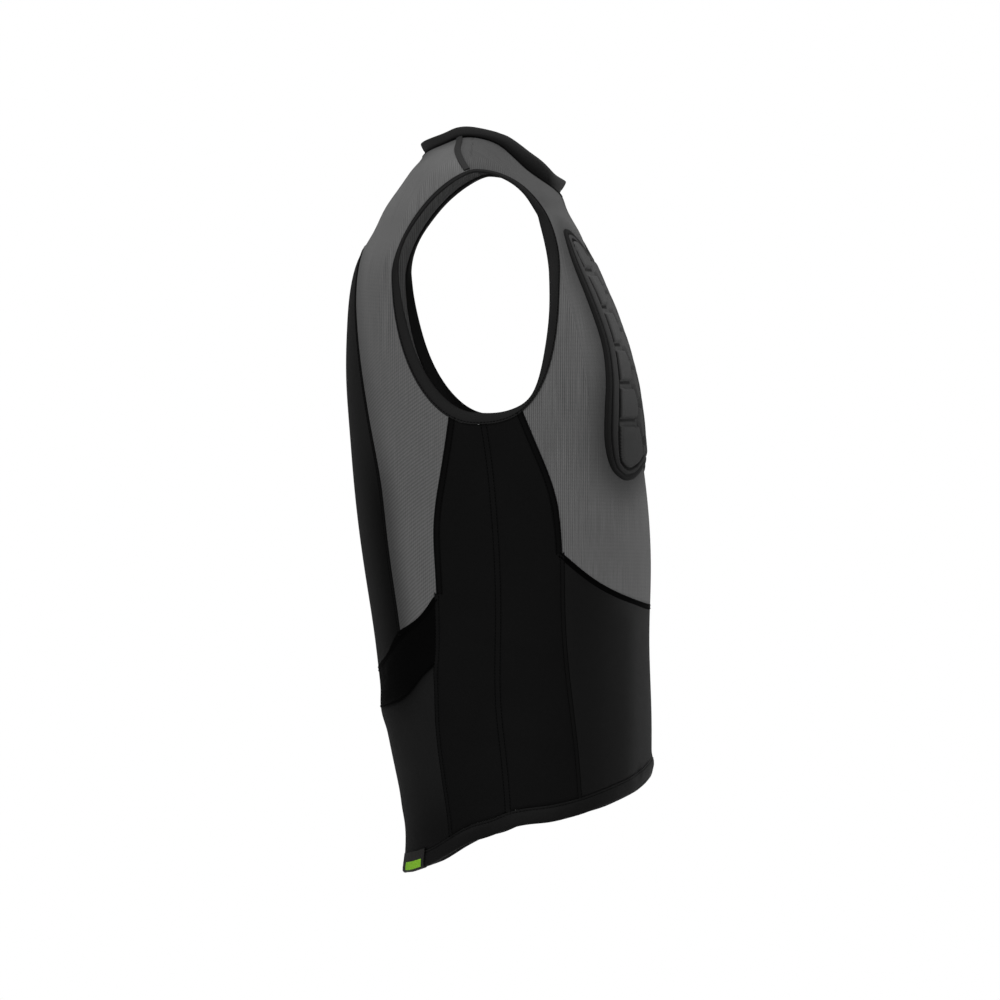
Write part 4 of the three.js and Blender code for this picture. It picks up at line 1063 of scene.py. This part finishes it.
front_mesh_half = patch(joined(armhole_front, front_seam_upper), joined(neck_front, front_middle), shoulder, yoke)
back_mesh_half = patch(
    joined(armhole_back, back_seam_upper), joined(neck_back, nape, panel_arch, panel_side), shoulder, wing,
)
back_panel_half = patch(
    panel_foot, panel_arch[::-1], panel_side[::-1], middle_line(panel_foot, panel_arch[0], STEPS["panel_side"]),
)
lumbar_half = patch(
    lumbar_low, joined(wing, panel_foot), back_seam_lumbar[::-1],
    middle_line(lumbar_low, panel_foot[-1], STEPS["back_seam_lumbar"]),
)
lower_back_half = patch(
    hem_back, lumbar_low, back_seam_lower[::-1],
    middle_line(hem_back, lumbar_low[-1], STEPS["back_seam_lower"]),
)
lower_front_half = patch(
    hem_front, yoke, front_seam_lower[::-1], middle_line(hem_front, yoke[-1], STEPS["front_seam_lower"]),
)
side_front = patch(
    hem_side_front, armhole_under_front, joined(front_seam_upper, front_seam_lower)[::-1], side_seam_edge[::-1],
)
side_back = patch(
    hem_side_back, armhole_under_back,
    side_seam_edge[::-1], joined(back_seam_upper, back_seam_lumbar, back_seam_lower)[::-1],
)

FRONT, BACK = 0, 180
for node, sheet, thickness, material, slot in [
    ("front_mesh", both_halves(front_mesh_half, FRONT), MESH_THICKNESS, MESH, "grey_mesh"),
    ("back_mesh", both_halves(back_mesh_half, BACK), MESH_THICKNESS, MESH, "grey_mesh"),
    ("back_panel", both_halves(back_panel_half, BACK), PANEL_THICKNESS, CHARCOAL, "black_jersey"),
    ("lumbar_band", both_halves(lumbar_half, BACK), PANEL_THICKNESS, PAINTED_SHADE_LUMBAR, "black_jersey"),
    ("lower_back", both_halves(lower_back_half, BACK), PANEL_THICKNESS, CHARCOAL, "charcoal_jersey"),
    ("lower_front", both_halves(lower_front_half, FRONT), PANEL_THICKNESS, SHINY, "black_jersey"),
    ("side_panel_front_right", one_grid(side_front), PANEL_THICKNESS, BLACK, "black_jersey"),
    ("side_panel_back_right", one_grid(side_back), PANEL_THICKNESS, BLACK, "black_jersey"),
    ("side_panel_front_left", one_grid(left_of(side_front)), PANEL_THICKNESS, BLACK, "black_jersey"),
    ("side_panel_back_left", one_grid(left_of(side_back)), PANEL_THICKNESS, BLACK, "black_jersey"),
]:
    cloth_panel(f"{node}_cloth", sheet, thickness, material, node)


# Armhole bindings: a folded band into the hole, with a stitched sink by its seam and a curled fold
def arc(centre, radius, start, end, steps):
    """Points of an arc, from one angle to another in degrees."""
    angle = np.radians(np.linspace(start, end, steps + 1))
    return np.stack([centre[0] + radius * np.cos(angle), centre[1] + radius * np.sin(angle)], -1)


half_band = BAND_THICKNESS / 2
BINDING_STEP = 3
BINDING_STITCH = 2.0
BINDING_STITCH_LIFT = 0.95
# Profile: share of the reach, and thickness outwards
BINDING_PROFILE = np.concatenate([
    [(0.02, 0.5), (0.05, 1.0), (0.1, 1.25), (0.17, 0.95), (0.23, 0.95), (0.32, 1.35), (0.55, 1.5), (0.75, 1.45)],
    arc((0.87, 0), half_band, 78, -78, 6) * (0.1, 1) + (0.783, 0),
    [(0.75, -1.3), (0.4, -1.3), (0.05, -1.2), (0.02, -0.5)],
])
binding_ring = evenly(np.column_stack([armhole_spots(armhole_angles), armhole_angles]), BINDING_STEP)[:-1]


def binding_rows(spots, into):
    """Rows of a binding: its profile spans the table's reach, and its lift grows with the square of the share."""
    points, normals, across = edge_frames(spots, True)
    reach, lift = np.moveaxis(binding_at(binding_ring[:, 2]), -1, 0)[..., None]
    share, thick = BINDING_PROFILE[None, :, 0], BINDING_PROFILE[None, :, 1]
    inward, height = into * reach * share, thick + lift * share**2
    return points[:, None] + across[:, None] * inward[..., None] + normals[:, None] * height[..., None]


for side, spots, into in (("right", binding_ring[:, :2], 1), ("left", left_of(binding_ring[:, :2]), -1)):
    band_piece(
        f"armhole_binding_{side}_fold", binding_rows(spots, into), True, BINDING,
        [f"armhole_binding_{side}"],
    )

# Shoulder tapes
TAPE_SHARES = (0.02, 0.97)
TAPE_STEPS = 48
TAPE_SEAT = 0.1
tape_low = MESH_THICKNESS / 2 + TAPE_SEAT
tape_top = MESH_THICKNESS / 2 + SEAT_GAP + TAPE_THICKNESS
tape_half = SHOULDER_TAPE_WIDTH / 2
TAPE_PROFILE = [
    (-tape_half, tape_low), (-tape_half, tape_top - 0.5), (-tape_half + 0.4, tape_top - 0.1),
    (-tape_half + 1, tape_top - 0.25), (-tape_half + 1.8, tape_top), (0, tape_top + 0.15),
    (tape_half - 1.8, tape_top), (tape_half - 1, tape_top - 0.25), (tape_half - 0.4, tape_top - 0.1),
    (tape_half, tape_top - 0.5), (tape_half, tape_low),
]
tape_edge = mixed(*(shoulder_arm + (shoulder_neck - shoulder_arm) * share for share in TAPE_SHARES), TAPE_STEPS)
tapes = {
    side: band_piece(
        f"shoulder_tape_{side}_strip", strip_rows(edge, TAPE_PROFILE), False, TAPE,
        [f"shoulder_tape_{side}"],
    )
    for side, edge in (("right", tape_edge), ("left", left_of(tape_edge)))
}


# Collar: a folded band that stands on the neck edge
COLLAR_STEPS = 240
# Profile: share of the climb, and thickness outwards
COLLAR_PROFILE = np.array([
    (0.0, 0.7), (0.06, 1.15), (0.16, 0.95), (0.24, 0.95), (0.36, 1.35), (0.6, 1.5), (0.82, 1.45), (0.93, 1.15),
    (0.985, 0.6), (1.0, 0.0), (0.985, -0.6), (0.93, -1.1), (0.8, -1.3), (0.4, -1.3), (0.06, -1.2), (0.0, -0.7),
])

neck_angles = np.linspace(0, 360, COLLAR_STEPS, endpoint=False)
neck_folded = folded_turn(neck_angles)
neck_loop = neck_spots(neck_folded) * np.stack([np.where(neck_angles <= 180, 1, -1), np.ones(COLLAR_STEPS)], -1)


def collar_rows():
    """Rows of the collar: its profile climbs by the table's rise and lean, thick across the climb."""
    points, _, across = edge_frames(neck_loop, True)
    rise, lean = np.moveaxis(collar_at(neck_folded), -1, 0)
    ways = np.radians(neck_angles)
    plan = np.stack([-np.sin(ways), -np.cos(ways), np.zeros(COLLAR_STEPS)], -1)
    upward = np.array([0, 0, 1.0])
    climb = plan * lean[:, None] + upward * rise[:, None]
    outward = unit(np.cross(climb, np.cross(plan, upward)))
    outward *= np.sign(np.sum(outward * plan, -1, keepdims=True))
    inward = across * np.sign(np.sum(across * climb, -1, keepdims=True))
    clear = half_band * np.maximum(0, -np.sum(outward * inward, -1, keepdims=True))
    root = points + inward * clear
    share, thick = COLLAR_PROFILE[None, :, :1], COLLAR_PROFILE[None, :, 1:]
    return root[:, None] + climb[:, None] * share + outward[:, None] * thick


collar = band_piece("collar_fold", collar_rows(), True, COLLAR, ["collar"])


# Hem: a folded band round the foot, its stitched line a little sunk and its foot gently uneven
HEM_STEPS = 520
HEM_STITCH = 13.6
HEM_STITCH_LIFT = 0.75
# Swings of its foot, up and down: size, waves all round, and start in degrees
HEM_SWINGS = ((0.2, 9, 0), (0.12, 23, 40))
# Ripple in and out
HEM_RIPPLE = 0.12
HEM_PROFILE = np.concatenate([
    [(15.9, 0.4), (15.4, 1.0), (14.6, 1.15), (HEM_STITCH, 0.7), (12.6, 1.2), (9, 1.45), (4, 1.5)],
    arc((half_band, 0), half_band, 100, 260, 6),
    [(4, -1.3), (9, -1.3), (15.4, -1.1), (15.9, -0.4)],
])


def hem_spots(turns, height):
    """Places at a height above the hem's edge, which swings a little by two sine waves of the turn."""
    swing = sum(size * np.sin(np.radians(turns * waves + start)) for size, waves, start in HEM_SWINGS)
    z = hem_at(folded_turn(turns))[..., 0] + height + swing * (1 - height / HEM_HEIGHT)
    return np.stack(np.broadcast_arrays(turns, z), -1)


def hem_rows():
    """Rows of the hem: its profile's height runs up the cloth, its thickness out of it."""
    turns = np.linspace(-180, 180, HEM_STEPS, endpoint=False)[:, None]
    ripple = HEM_RIPPLE * np.sin(np.radians(turns * 31)) * np.sin(np.radians(turns * 7 + 20))
    spots = hem_spots(turns, HEM_PROFILE[None, :, 0])
    return on_body(spots, HEM_PROFILE[None, :, 1] + ripple)


hem = band_piece("hem_fold", hem_rows(), True, SHINY, ["hem_band"])

# Tag: a short strip folded round the foot of the hem
TAG_STEPS = 28
TAG_PROFILE = np.array([
    (TAG_HEIGHT, 1.75), (TAG_HEIGHT - 0.3, 2.3), (11, 2.55), (6, 2.6), (2.4, 2.5), (0.6, 2.05), (-0.45, 0.9), (-0.6, 0),
    (-0.45, -0.9), (0.6, -2.0), (3, -2.3), (9, -2.3), (9, -1.6), (3, -1.6), (1.0, -1.4), (0.1, -0.6), (0, 0),
    (0.1, 0.6), (1.0, 1.5), (6, 1.75),
])


def tag_rows():
    """Rows of the tag: its profile on the hem, one row for each turn."""
    turns = np.linspace(*TAG_TURNS, TAG_STEPS + 1)[:, None]
    return on_body(hem_spots(turns, TAG_PROFILE[None, :, 0]), TAG_PROFILE[None, :, 1])


tag = band_piece("hem_tag_fold", tag_rows(), False, TAG, ["hem_tag"])

# Seams: a low band over each line where two panels are sewn. Beside the mesh it lies on the other panel.
SEAM_STEP = 4
SEAM_TOP = 0.95
# Where the neck seam's band starts and ends across the neck edge
NECK_SEAM = (-4.4, 0.5)
# Lap of the lumbar band's top seam at the back panel's corner, and the turns where it starts and ends
WING_COVER = 4.6
WING_START_TURN = 118
WING_END_TURN = 150


def seam_profile(start, end):
    """Profile of a seam band between two places across the seam, with a low ridge along each side."""
    places = [start, start + 0.1, start + 0.5, start + 1, (start + end) / 2, end - 1, end - 0.5, end - 0.1, end]
    places = np.stack(np.broadcast_arrays(*places), -1)
    sinks = np.array([0.85, 0.3, 0.05, 0, 0.1, 0, 0.05, 0.3, 0.85])
    return np.stack(np.broadcast_arrays(places, SEAM_TOP - sinks), -1)


def wing_cover(spots):
    """How far the lumbar band's top seam laps over the mesh: by the square of the way to the back panel's corner."""
    folded = folded_turn(spots[:, 0])
    share = np.clip((folded - WING_START_TURN) / (PANEL_CORNER_TURN - WING_START_TURN), 0, 1)
    return WING_COVER * share**2 * smooth_step((WING_END_TURN - folded) / (WING_END_TURN - PANEL_CORNER_TURN))


def round_back(edge):
    """An edge of the right half that ends at the centre back, run on over the left half."""
    return joined(edge, [(360, 0)] + (-1, 1) * edge[::-1])


# Each seam: its line, where its band starts and ends across it, its cloth, and its rows of stitches
half_seams = {
    "front_seam_upper": (front_seam_upper, (-0.6, 6.4), SEAM, (1.0, 5.4)),
    "front_seam_lower": (front_seam_lower, (-2.6, 2.6), BLACK, (-1.9, 1.9)),
    "side_seam": (side_seam_edge, (-3.2, 3.2), BLACK, (-2.4, 2.4)),
    "back_seam_upper": (back_seam_upper, (-6.4, 0.6), SEAM, (-5.4, -1.0)),
    "back_seam_lower": (joined(back_seam_lumbar, back_seam_lower), (-2.6, 2.6), BLACK, (-1.9, 1.9)),
}
middle_seams = {
    "yoke_seam": (joined(yoke, left_of(yoke)[::-1]), (-0.6, 5.0), THREAD, (0.9, 4.0)),
    "lumbar_top_seam": (round_back(joined(wing[4:], panel_foot)), (-5.0, 0.6), THREAD, (-4.0, -0.9)),
    "lumbar_low_seam": (round_back(lumbar_low[3:]), (-1.4, 1.4), PAINTED_SHADE_LUMBAR, (0.0,)),
    "back_panel_seam": (round_back(joined(panel_side[::-1], panel_arch[::-1])), (-5.0, 0.6), BLACK, (-4.0, -0.9)),
}
seams = {}
for name, (edge, (start, end), cloth, rows) in half_seams.items():
    seams[f"{name}_right"] = edge, (start, end), cloth, rows
    seams[f"{name}_left"] = left_of(edge), (-end, -start), cloth, [-row for row in rows]
seams.update(middle_seams)
for name, (edge, ends, cloth, _) in seams.items():
    line, (start, end) = evenly(edge, SEAM_STEP), ends
    if name == "lumbar_top_seam":
        end = end + wing_cover(line)
    band_piece(name, strip_rows(line, seam_profile(start, end)), False, cloth)
band_piece("neck_seam", strip_rows(neck_loop, seam_profile(*NECK_SEAM), True), True, THREAD)

# Stitches: rows of short thread loops
STITCH_PITCH = 3.2
STITCH_LENGTH = 2.5
STITCH_RADIUS = 0.34
STITCH_SIDES = 5
# Rings of one stitch: place along it and radius, as shares of its length and radius
STITCH_RINGS = np.array([(-0.5, 0.35), (-0.3, 1), (0.3, 1), (0.5, 0.35)])


def stitch_shape():
    """One stitch: rings of a few sides along it, capped at both ends. Columns are along, across and out."""
    angle = np.linspace(0, 2 * np.pi, STITCH_SIDES, endpoint=False)
    ring = np.stack([np.cos(angle), np.sin(angle)], -1) * STITCH_RADIUS
    along = np.repeat(STITCH_RINGS[:, 0] * STITCH_LENGTH, STITCH_SIDES)
    sides = (STITCH_RINGS[:, 1, None, None] * ring[None]).reshape(-1, 2)
    points, faces = carried(np.column_stack([along, sides]).reshape(len(STITCH_RINGS), STITCH_SIDES, 3), False)
    return points, outward_faces(points, faces)


def stitch_rows(rows):
    """Points and faces of stitches on many lines: one shape set at each place, along, across and out of the cloth."""
    shape, shape_faces = stitch_shape()
    points, faces, start = [], [], 0
    for spots, offset, lift, closed in rows:
        places, normals, across = edge_frames(spots, closed)
        along = np.cross(normals, across)
        axes = np.stack([along, across, normals], 1)
        centre = places + across * offset + normals * lift
        points.append((centre[:, None] + np.einsum("pk,nkx->npx", shape, axes)).reshape(-1, 3))
        step = start + np.arange(len(places)) * len(shape)
        start += len(places) * len(shape)
        faces += [(np.array(face)[None] + step[:, None]).tolist() for face in shape_faces]
    return np.concatenate(points), [face for group in faces for face in group]


def stitch_piece(name, rows):
    points, faces = stitch_rows(rows)
    return new_piece(name, points, faces, points[:, :2] * MM, THREAD)


seam_stitches = [
    (evenly(edge, STITCH_PITCH), row, SEAM_TOP, False) for edge, _, _, rows in seams.values() for row in rows
]
stitch_piece("seam_stitches", seam_stitches)
hem_line = hem_spots(np.linspace(-180, 180, HEM_STEPS, endpoint=False), HEM_STITCH)
binding_lines = [
    (evenly(loop, STITCH_PITCH, True), BINDING_STITCH * into, BINDING_STITCH_LIFT, True)
    for loop, into in ((armhole_loop, 1), (left_of(armhole_loop), -1))
]
hem_row = (evenly(hem_line, STITCH_PITCH, True), 0, HEM_STITCH_LIFT, True)
stitch_piece("band_stitches", [hem_row, *binding_lines])

# Chest pad: a moulded foam sheet with a flange, a groove, a rib, a slot and a field of six-sided cells
PAD_CENTRE = np.array([0.0, -196.0])
PAD_GRID = 216
PAD_PITCH = 35.4
PAD_COLUMN_PITCH = 28.5
PAD_EDGE_COLUMN = 57
PAD_ROW_SHIFT = 12.2
PAD_LOWEST_ROW = 3
PAD_CHANNEL_HALF = 3.2
PAD_FIELD_EDGE = 22
PAD_FLOOR = 3.6
PAD_CELL_TOP = 7.0
PAD_BEVEL = 2.0
# Rise of a cell from its edge to its middle, the way over which it rises, and the blend of cells into the welt
PAD_DOME = 0.5
PAD_DOME_REACH = 6
PAD_BLEND = 1.2
# Depth of the painted shade line under a cell, and how far it fades
PAD_LINE = 3.2
PAD_LINE_FADE = 0.8
# Room between the mesh and the pad
PAD_SEAT = 0.2
# How much narrower the welt is along the top and the foot than along the sides
PAD_WELT_SQUEEZE = 0.8
# Welt: distance inside the rim, and height
pad_welt_at = table(
    (0, 0.5), (0.8, 1.8), (2.2, 2.7), (5, 2.9), (7, 2.7), (8, 1.9), (9.4, 1.6), (10.6, 2.4), (12.4, 4.6), (14.8, 5.0),
    (17, 4.5), (18.6, 2.5), (20.4, 1.7), (22, 2.2), (24, 3.2), (27, PAD_FLOOR), (34, PAD_FLOOR), (260, PAD_FLOOR),
)
# How much of its height the pad keeps, by z: it thins towards its head and its foot
pad_full_at = table((-312, 0.55), (-285, 0.75), (-250, 1), (-200, 1), (-140, 1), (-110, 0.72), (-90, 0.5), (-70, 0.5))


def pad_sheet():
    """Places of the pad and their distance inside its rim, on a square grid mapped to rings of the outline.

    Formula: a square's larger coordinate gives the ring, the other over it the place along one of four sides.
    """
    a, b = np.meshgrid(*[np.linspace(-1, 1, PAD_GRID + 1)] * 2, indexing="ij")
    ring = np.maximum(np.abs(a), np.abs(b))
    safe = np.maximum(ring, 1e-9)
    upper = np.abs(b) >= np.abs(a)
    quarter = np.where(upper, np.where(b > 0, 0.0, 2.0), np.where(a > 0, 1.0, 3.0))
    ahead = np.where(upper, np.where(b > 0, a, -a), np.where(a > 0, -b, b)) / safe
    share = (quarter + ahead / 2) / 4
    edge = pad_outline(share)
    step = 1e-4
    along = unit((pad_outline(share + step) - pad_outline(share - step)) * FLAT_SCALE)
    arm = (edge - PAD_CENTRE) * FLAT_SCALE
    support = np.abs(arm[..., 0] * along[..., 1] - arm[..., 1] * along[..., 0])
    squeeze = 1 + PAD_WELT_SQUEEZE * along[..., 0] ** 2
    return PAD_CENTRE + ring[..., None] * (edge - PAD_CENTRE), (1 - ring) * support * squeeze


def cell_edge(across, z):
    """Distance inside the nearest six-sided cell: half the way to its neighbours less the way gone towards them.

    Cells of the outermost columns and of the lowest row run straight on: past their middle the place stays there.
    """
    across = np.clip(across, -PAD_EDGE_COLUMN, PAD_EDGE_COLUMN)
    slant = np.array([PAD_COLUMN_PITCH, PAD_PITCH / 2])
    reach = np.linalg.norm(slant)
    best = np.full(across.shape, -np.inf)
    for column_shift, row_shift in ((0, PAD_PITCH / 2), (PAD_COLUMN_PITCH, 0)):
        x = np.abs(np.mod(across - column_shift + PAD_COLUMN_PITCH, 2 * PAD_COLUMN_PITCH) - PAD_COLUMN_PITCH)
        up = np.maximum(z - PAD_CENTRE[1] - PAD_ROW_SHIFT - row_shift, -PAD_LOWEST_ROW * PAD_PITCH)
        up = np.abs(np.mod(up + PAD_PITCH / 2, PAD_PITCH) - PAD_PITCH / 2)
        inside = np.minimum(PAD_PITCH / 2 - up, reach / 2 - (x * slant[0] + up * slant[1]) / reach)
        best = np.maximum(best, inside)
    return best


def in_cell(spots, above=0.0):
    """Distance inside a cell's edge, read a little above each place."""
    return cell_edge(spots[..., 0] * MM_PER_DEGREE, spots[..., 1] + above) - PAD_CHANNEL_HALF


def under_cell(spots, inside):
    """How close a place lies under a cell's lower edge, from 0 to 1, for the painted shade line there: outside the
    cell, with the cell just above it.
    """
    below = smooth_step(in_cell(spots, PAD_LINE) / PAD_LINE_FADE)
    outside = smooth_step(0.5 - in_cell(spots) / PAD_LINE_FADE)
    return below * outside * smooth_step((inside - PAD_FIELD_EDGE) / 2)


def pad_height(spots, inside):
    """Height of the pad: the welt by the distance inside the rim, and cells that rise from the floor and are domed."""
    cell = in_cell(spots)
    field = inside - PAD_FIELD_EDGE
    share = np.clip(0.5 + (field - cell) / (2 * PAD_BLEND), 0, 1)
    edge = field * (1 - share) + cell * share - PAD_BLEND * share * (1 - share)
    rise = smooth_step(edge / PAD_BEVEL)
    dome = PAD_DOME * (1 - np.exp(-np.maximum(edge, 0) / PAD_DOME_REACH))
    floor = pad_welt_at(inside)[..., 0]
    return (floor + (PAD_CELL_TOP - PAD_FLOOR + dome) * rise) * pad_full_at(spots[..., 1])[..., 0]


pad_spots, pad_inside = pad_sheet()
pad_heights = pad_height(pad_spots, pad_inside).ravel()
pad_flat, pad_quads = one_grid(pad_spots)
pad_back = MESH_THICKNESS / 2 + PAD_SEAT
pad_points, pad_faces = wall(
    on_body(pad_flat), body_normal(pad_flat[:, 0], pad_flat[:, 1]), pad_quads, pad_back + pad_heights, pad_back,
)
# The relief layer holds the distance inside the rim, and the painted shade line under each cell
pad = new_piece(
    "chest_pad_foam", pad_points, pad_faces, np.tile(flat_places(pad_flat), (2, 1)), PAD, ["chest_pad"],
    {"relief": np.tile(np.stack([pad_inside * MM, under_cell(pad_spots, pad_inside)], -1).reshape(-1, 2), (2, 1))},
)


# Stage, light and camera
PIXEL = 0.00095
IMAGE = 1000
VIEW_TURN = 272.1
VIEW_LENS = 1000
SENSOR = 36
VIEW_CENTRE = np.array([0.0, -0.0228, -0.3278])
FLOOR_Z = -1.25
FLOOR_RADIUS = 4
# Strength of the white ground as the camera sees it, and as fill light
GROUND_LEVELS = (1.0, 0.35)
# Soft boxes: place, aim, size and watts
LIGHTS = {
    "front_box": ((-1.5, -2.4, 0.5), (0, -0.05, -0.35), 1.6, 20),
    "side_box": ((-2.8, -0.4, 0.3), (0, 0, -0.3), 1.4, 54),
    "back_box": ((-1.4, 2.4, 0.5), (0, 0.05, -0.35), 1.4, 40),
    "top_box": ((-0.3, 0, 2.2), (0, 0, 0), 1.6, 70),
    "far_box": ((1.2, -2.5, 0.2), (0, 0, -0.35), 2.4, 20),
}


def stage_floor():
    """A wide round floor, well under the hem as on a wearer: a disc of rings about its middle."""
    ring, angle = np.meshgrid(np.linspace(0.01, FLOOR_RADIUS, 24), np.radians(np.arange(0, 360, 5)), indexing="ij")
    points = np.stack([ring * np.cos(angle), ring * np.sin(angle), np.full(ring.shape, FLOOR_Z)], -1).reshape(-1, 3)
    index = np.arange(len(points)).reshape(ring.shape)
    index = np.concatenate([index, index[:, :1]], axis=1)
    mesh = bpy.data.meshes.new("stage_floor")
    mesh.from_pydata(points.tolist(), [], grid_quads(index)[:, ::-1].tolist() + [index[0, :-1].tolist()])
    finish = Finish("stage_paper", Base_Color=(0.86, 0.86, 0.86, 1), Roughness=0.9, Specular_IOR_Level=0.1)
    mesh.materials.append(finish.material)
    new_object("stage_floor", mesh)


def soft_light(name, place, aim, size, watts):
    """A square soft box at a place, turned to its aim."""
    lamp = bpy.data.lights.new(name, "AREA")
    lamp.size, lamp.energy = size, watts
    point_at(new_object(name, lamp), np.array(place, float), np.array(aim, float))


def point_at(thing, place, aim):
    """Sets a light or the camera at a place and turns its -Z axis to the aim, with +Z of the scene upwards."""
    thing.location = Vector(place)
    thing.rotation_euler = Vector(aim - place).to_track_quat("-Z", "Y").to_euler()


def white_world(camera_level, light_level):
    """A white ground for the camera, and a dimmer white all round as fill light."""
    world = bpy.data.worlds.new("studio")
    bpy.context.scene.world = world
    world.use_nodes = True
    tree = world.node_tree
    tree.nodes.clear()
    levels = [
        put(tree, "ShaderNodeBackground", {"Color": (1, 1, 1, 1), "Strength": level}).outputs[0]
        for level in (light_level, camera_level)
    ]
    seen = put(tree, "ShaderNodeLightPath").outputs["Is Camera Ray"]
    mix = put(tree, "ShaderNodeMixShader", {0: seen, 1: levels[0], 2: levels[1]})
    put(tree, "ShaderNodeOutputWorld", {"Surface": mix.outputs[0]})


def photo_camera():
    """A long lens at the side, so that PIXEL metres at the middle of the vest fill one pixel."""
    data = bpy.data.cameras.new("photo_camera")
    data.lens, data.sensor_width = VIEW_LENS, SENSOR
    camera = new_object("photo_camera", data)
    distance = VIEW_LENS * PIXEL * IMAGE / SENSOR
    turn = np.radians(VIEW_TURN)
    back = np.array([np.sin(turn), -np.cos(turn), 0.0])
    point_at(camera, VIEW_CENTRE + back * distance, VIEW_CENTRE)
    bpy.context.scene.camera = camera


stage_floor()
white_world(*GROUND_LEVELS)
for name, light in LIGHTS.items():
    soft_light(name, *light)
photo_camera()
bpy.context.scene.view_settings.view_transform = "Standard"
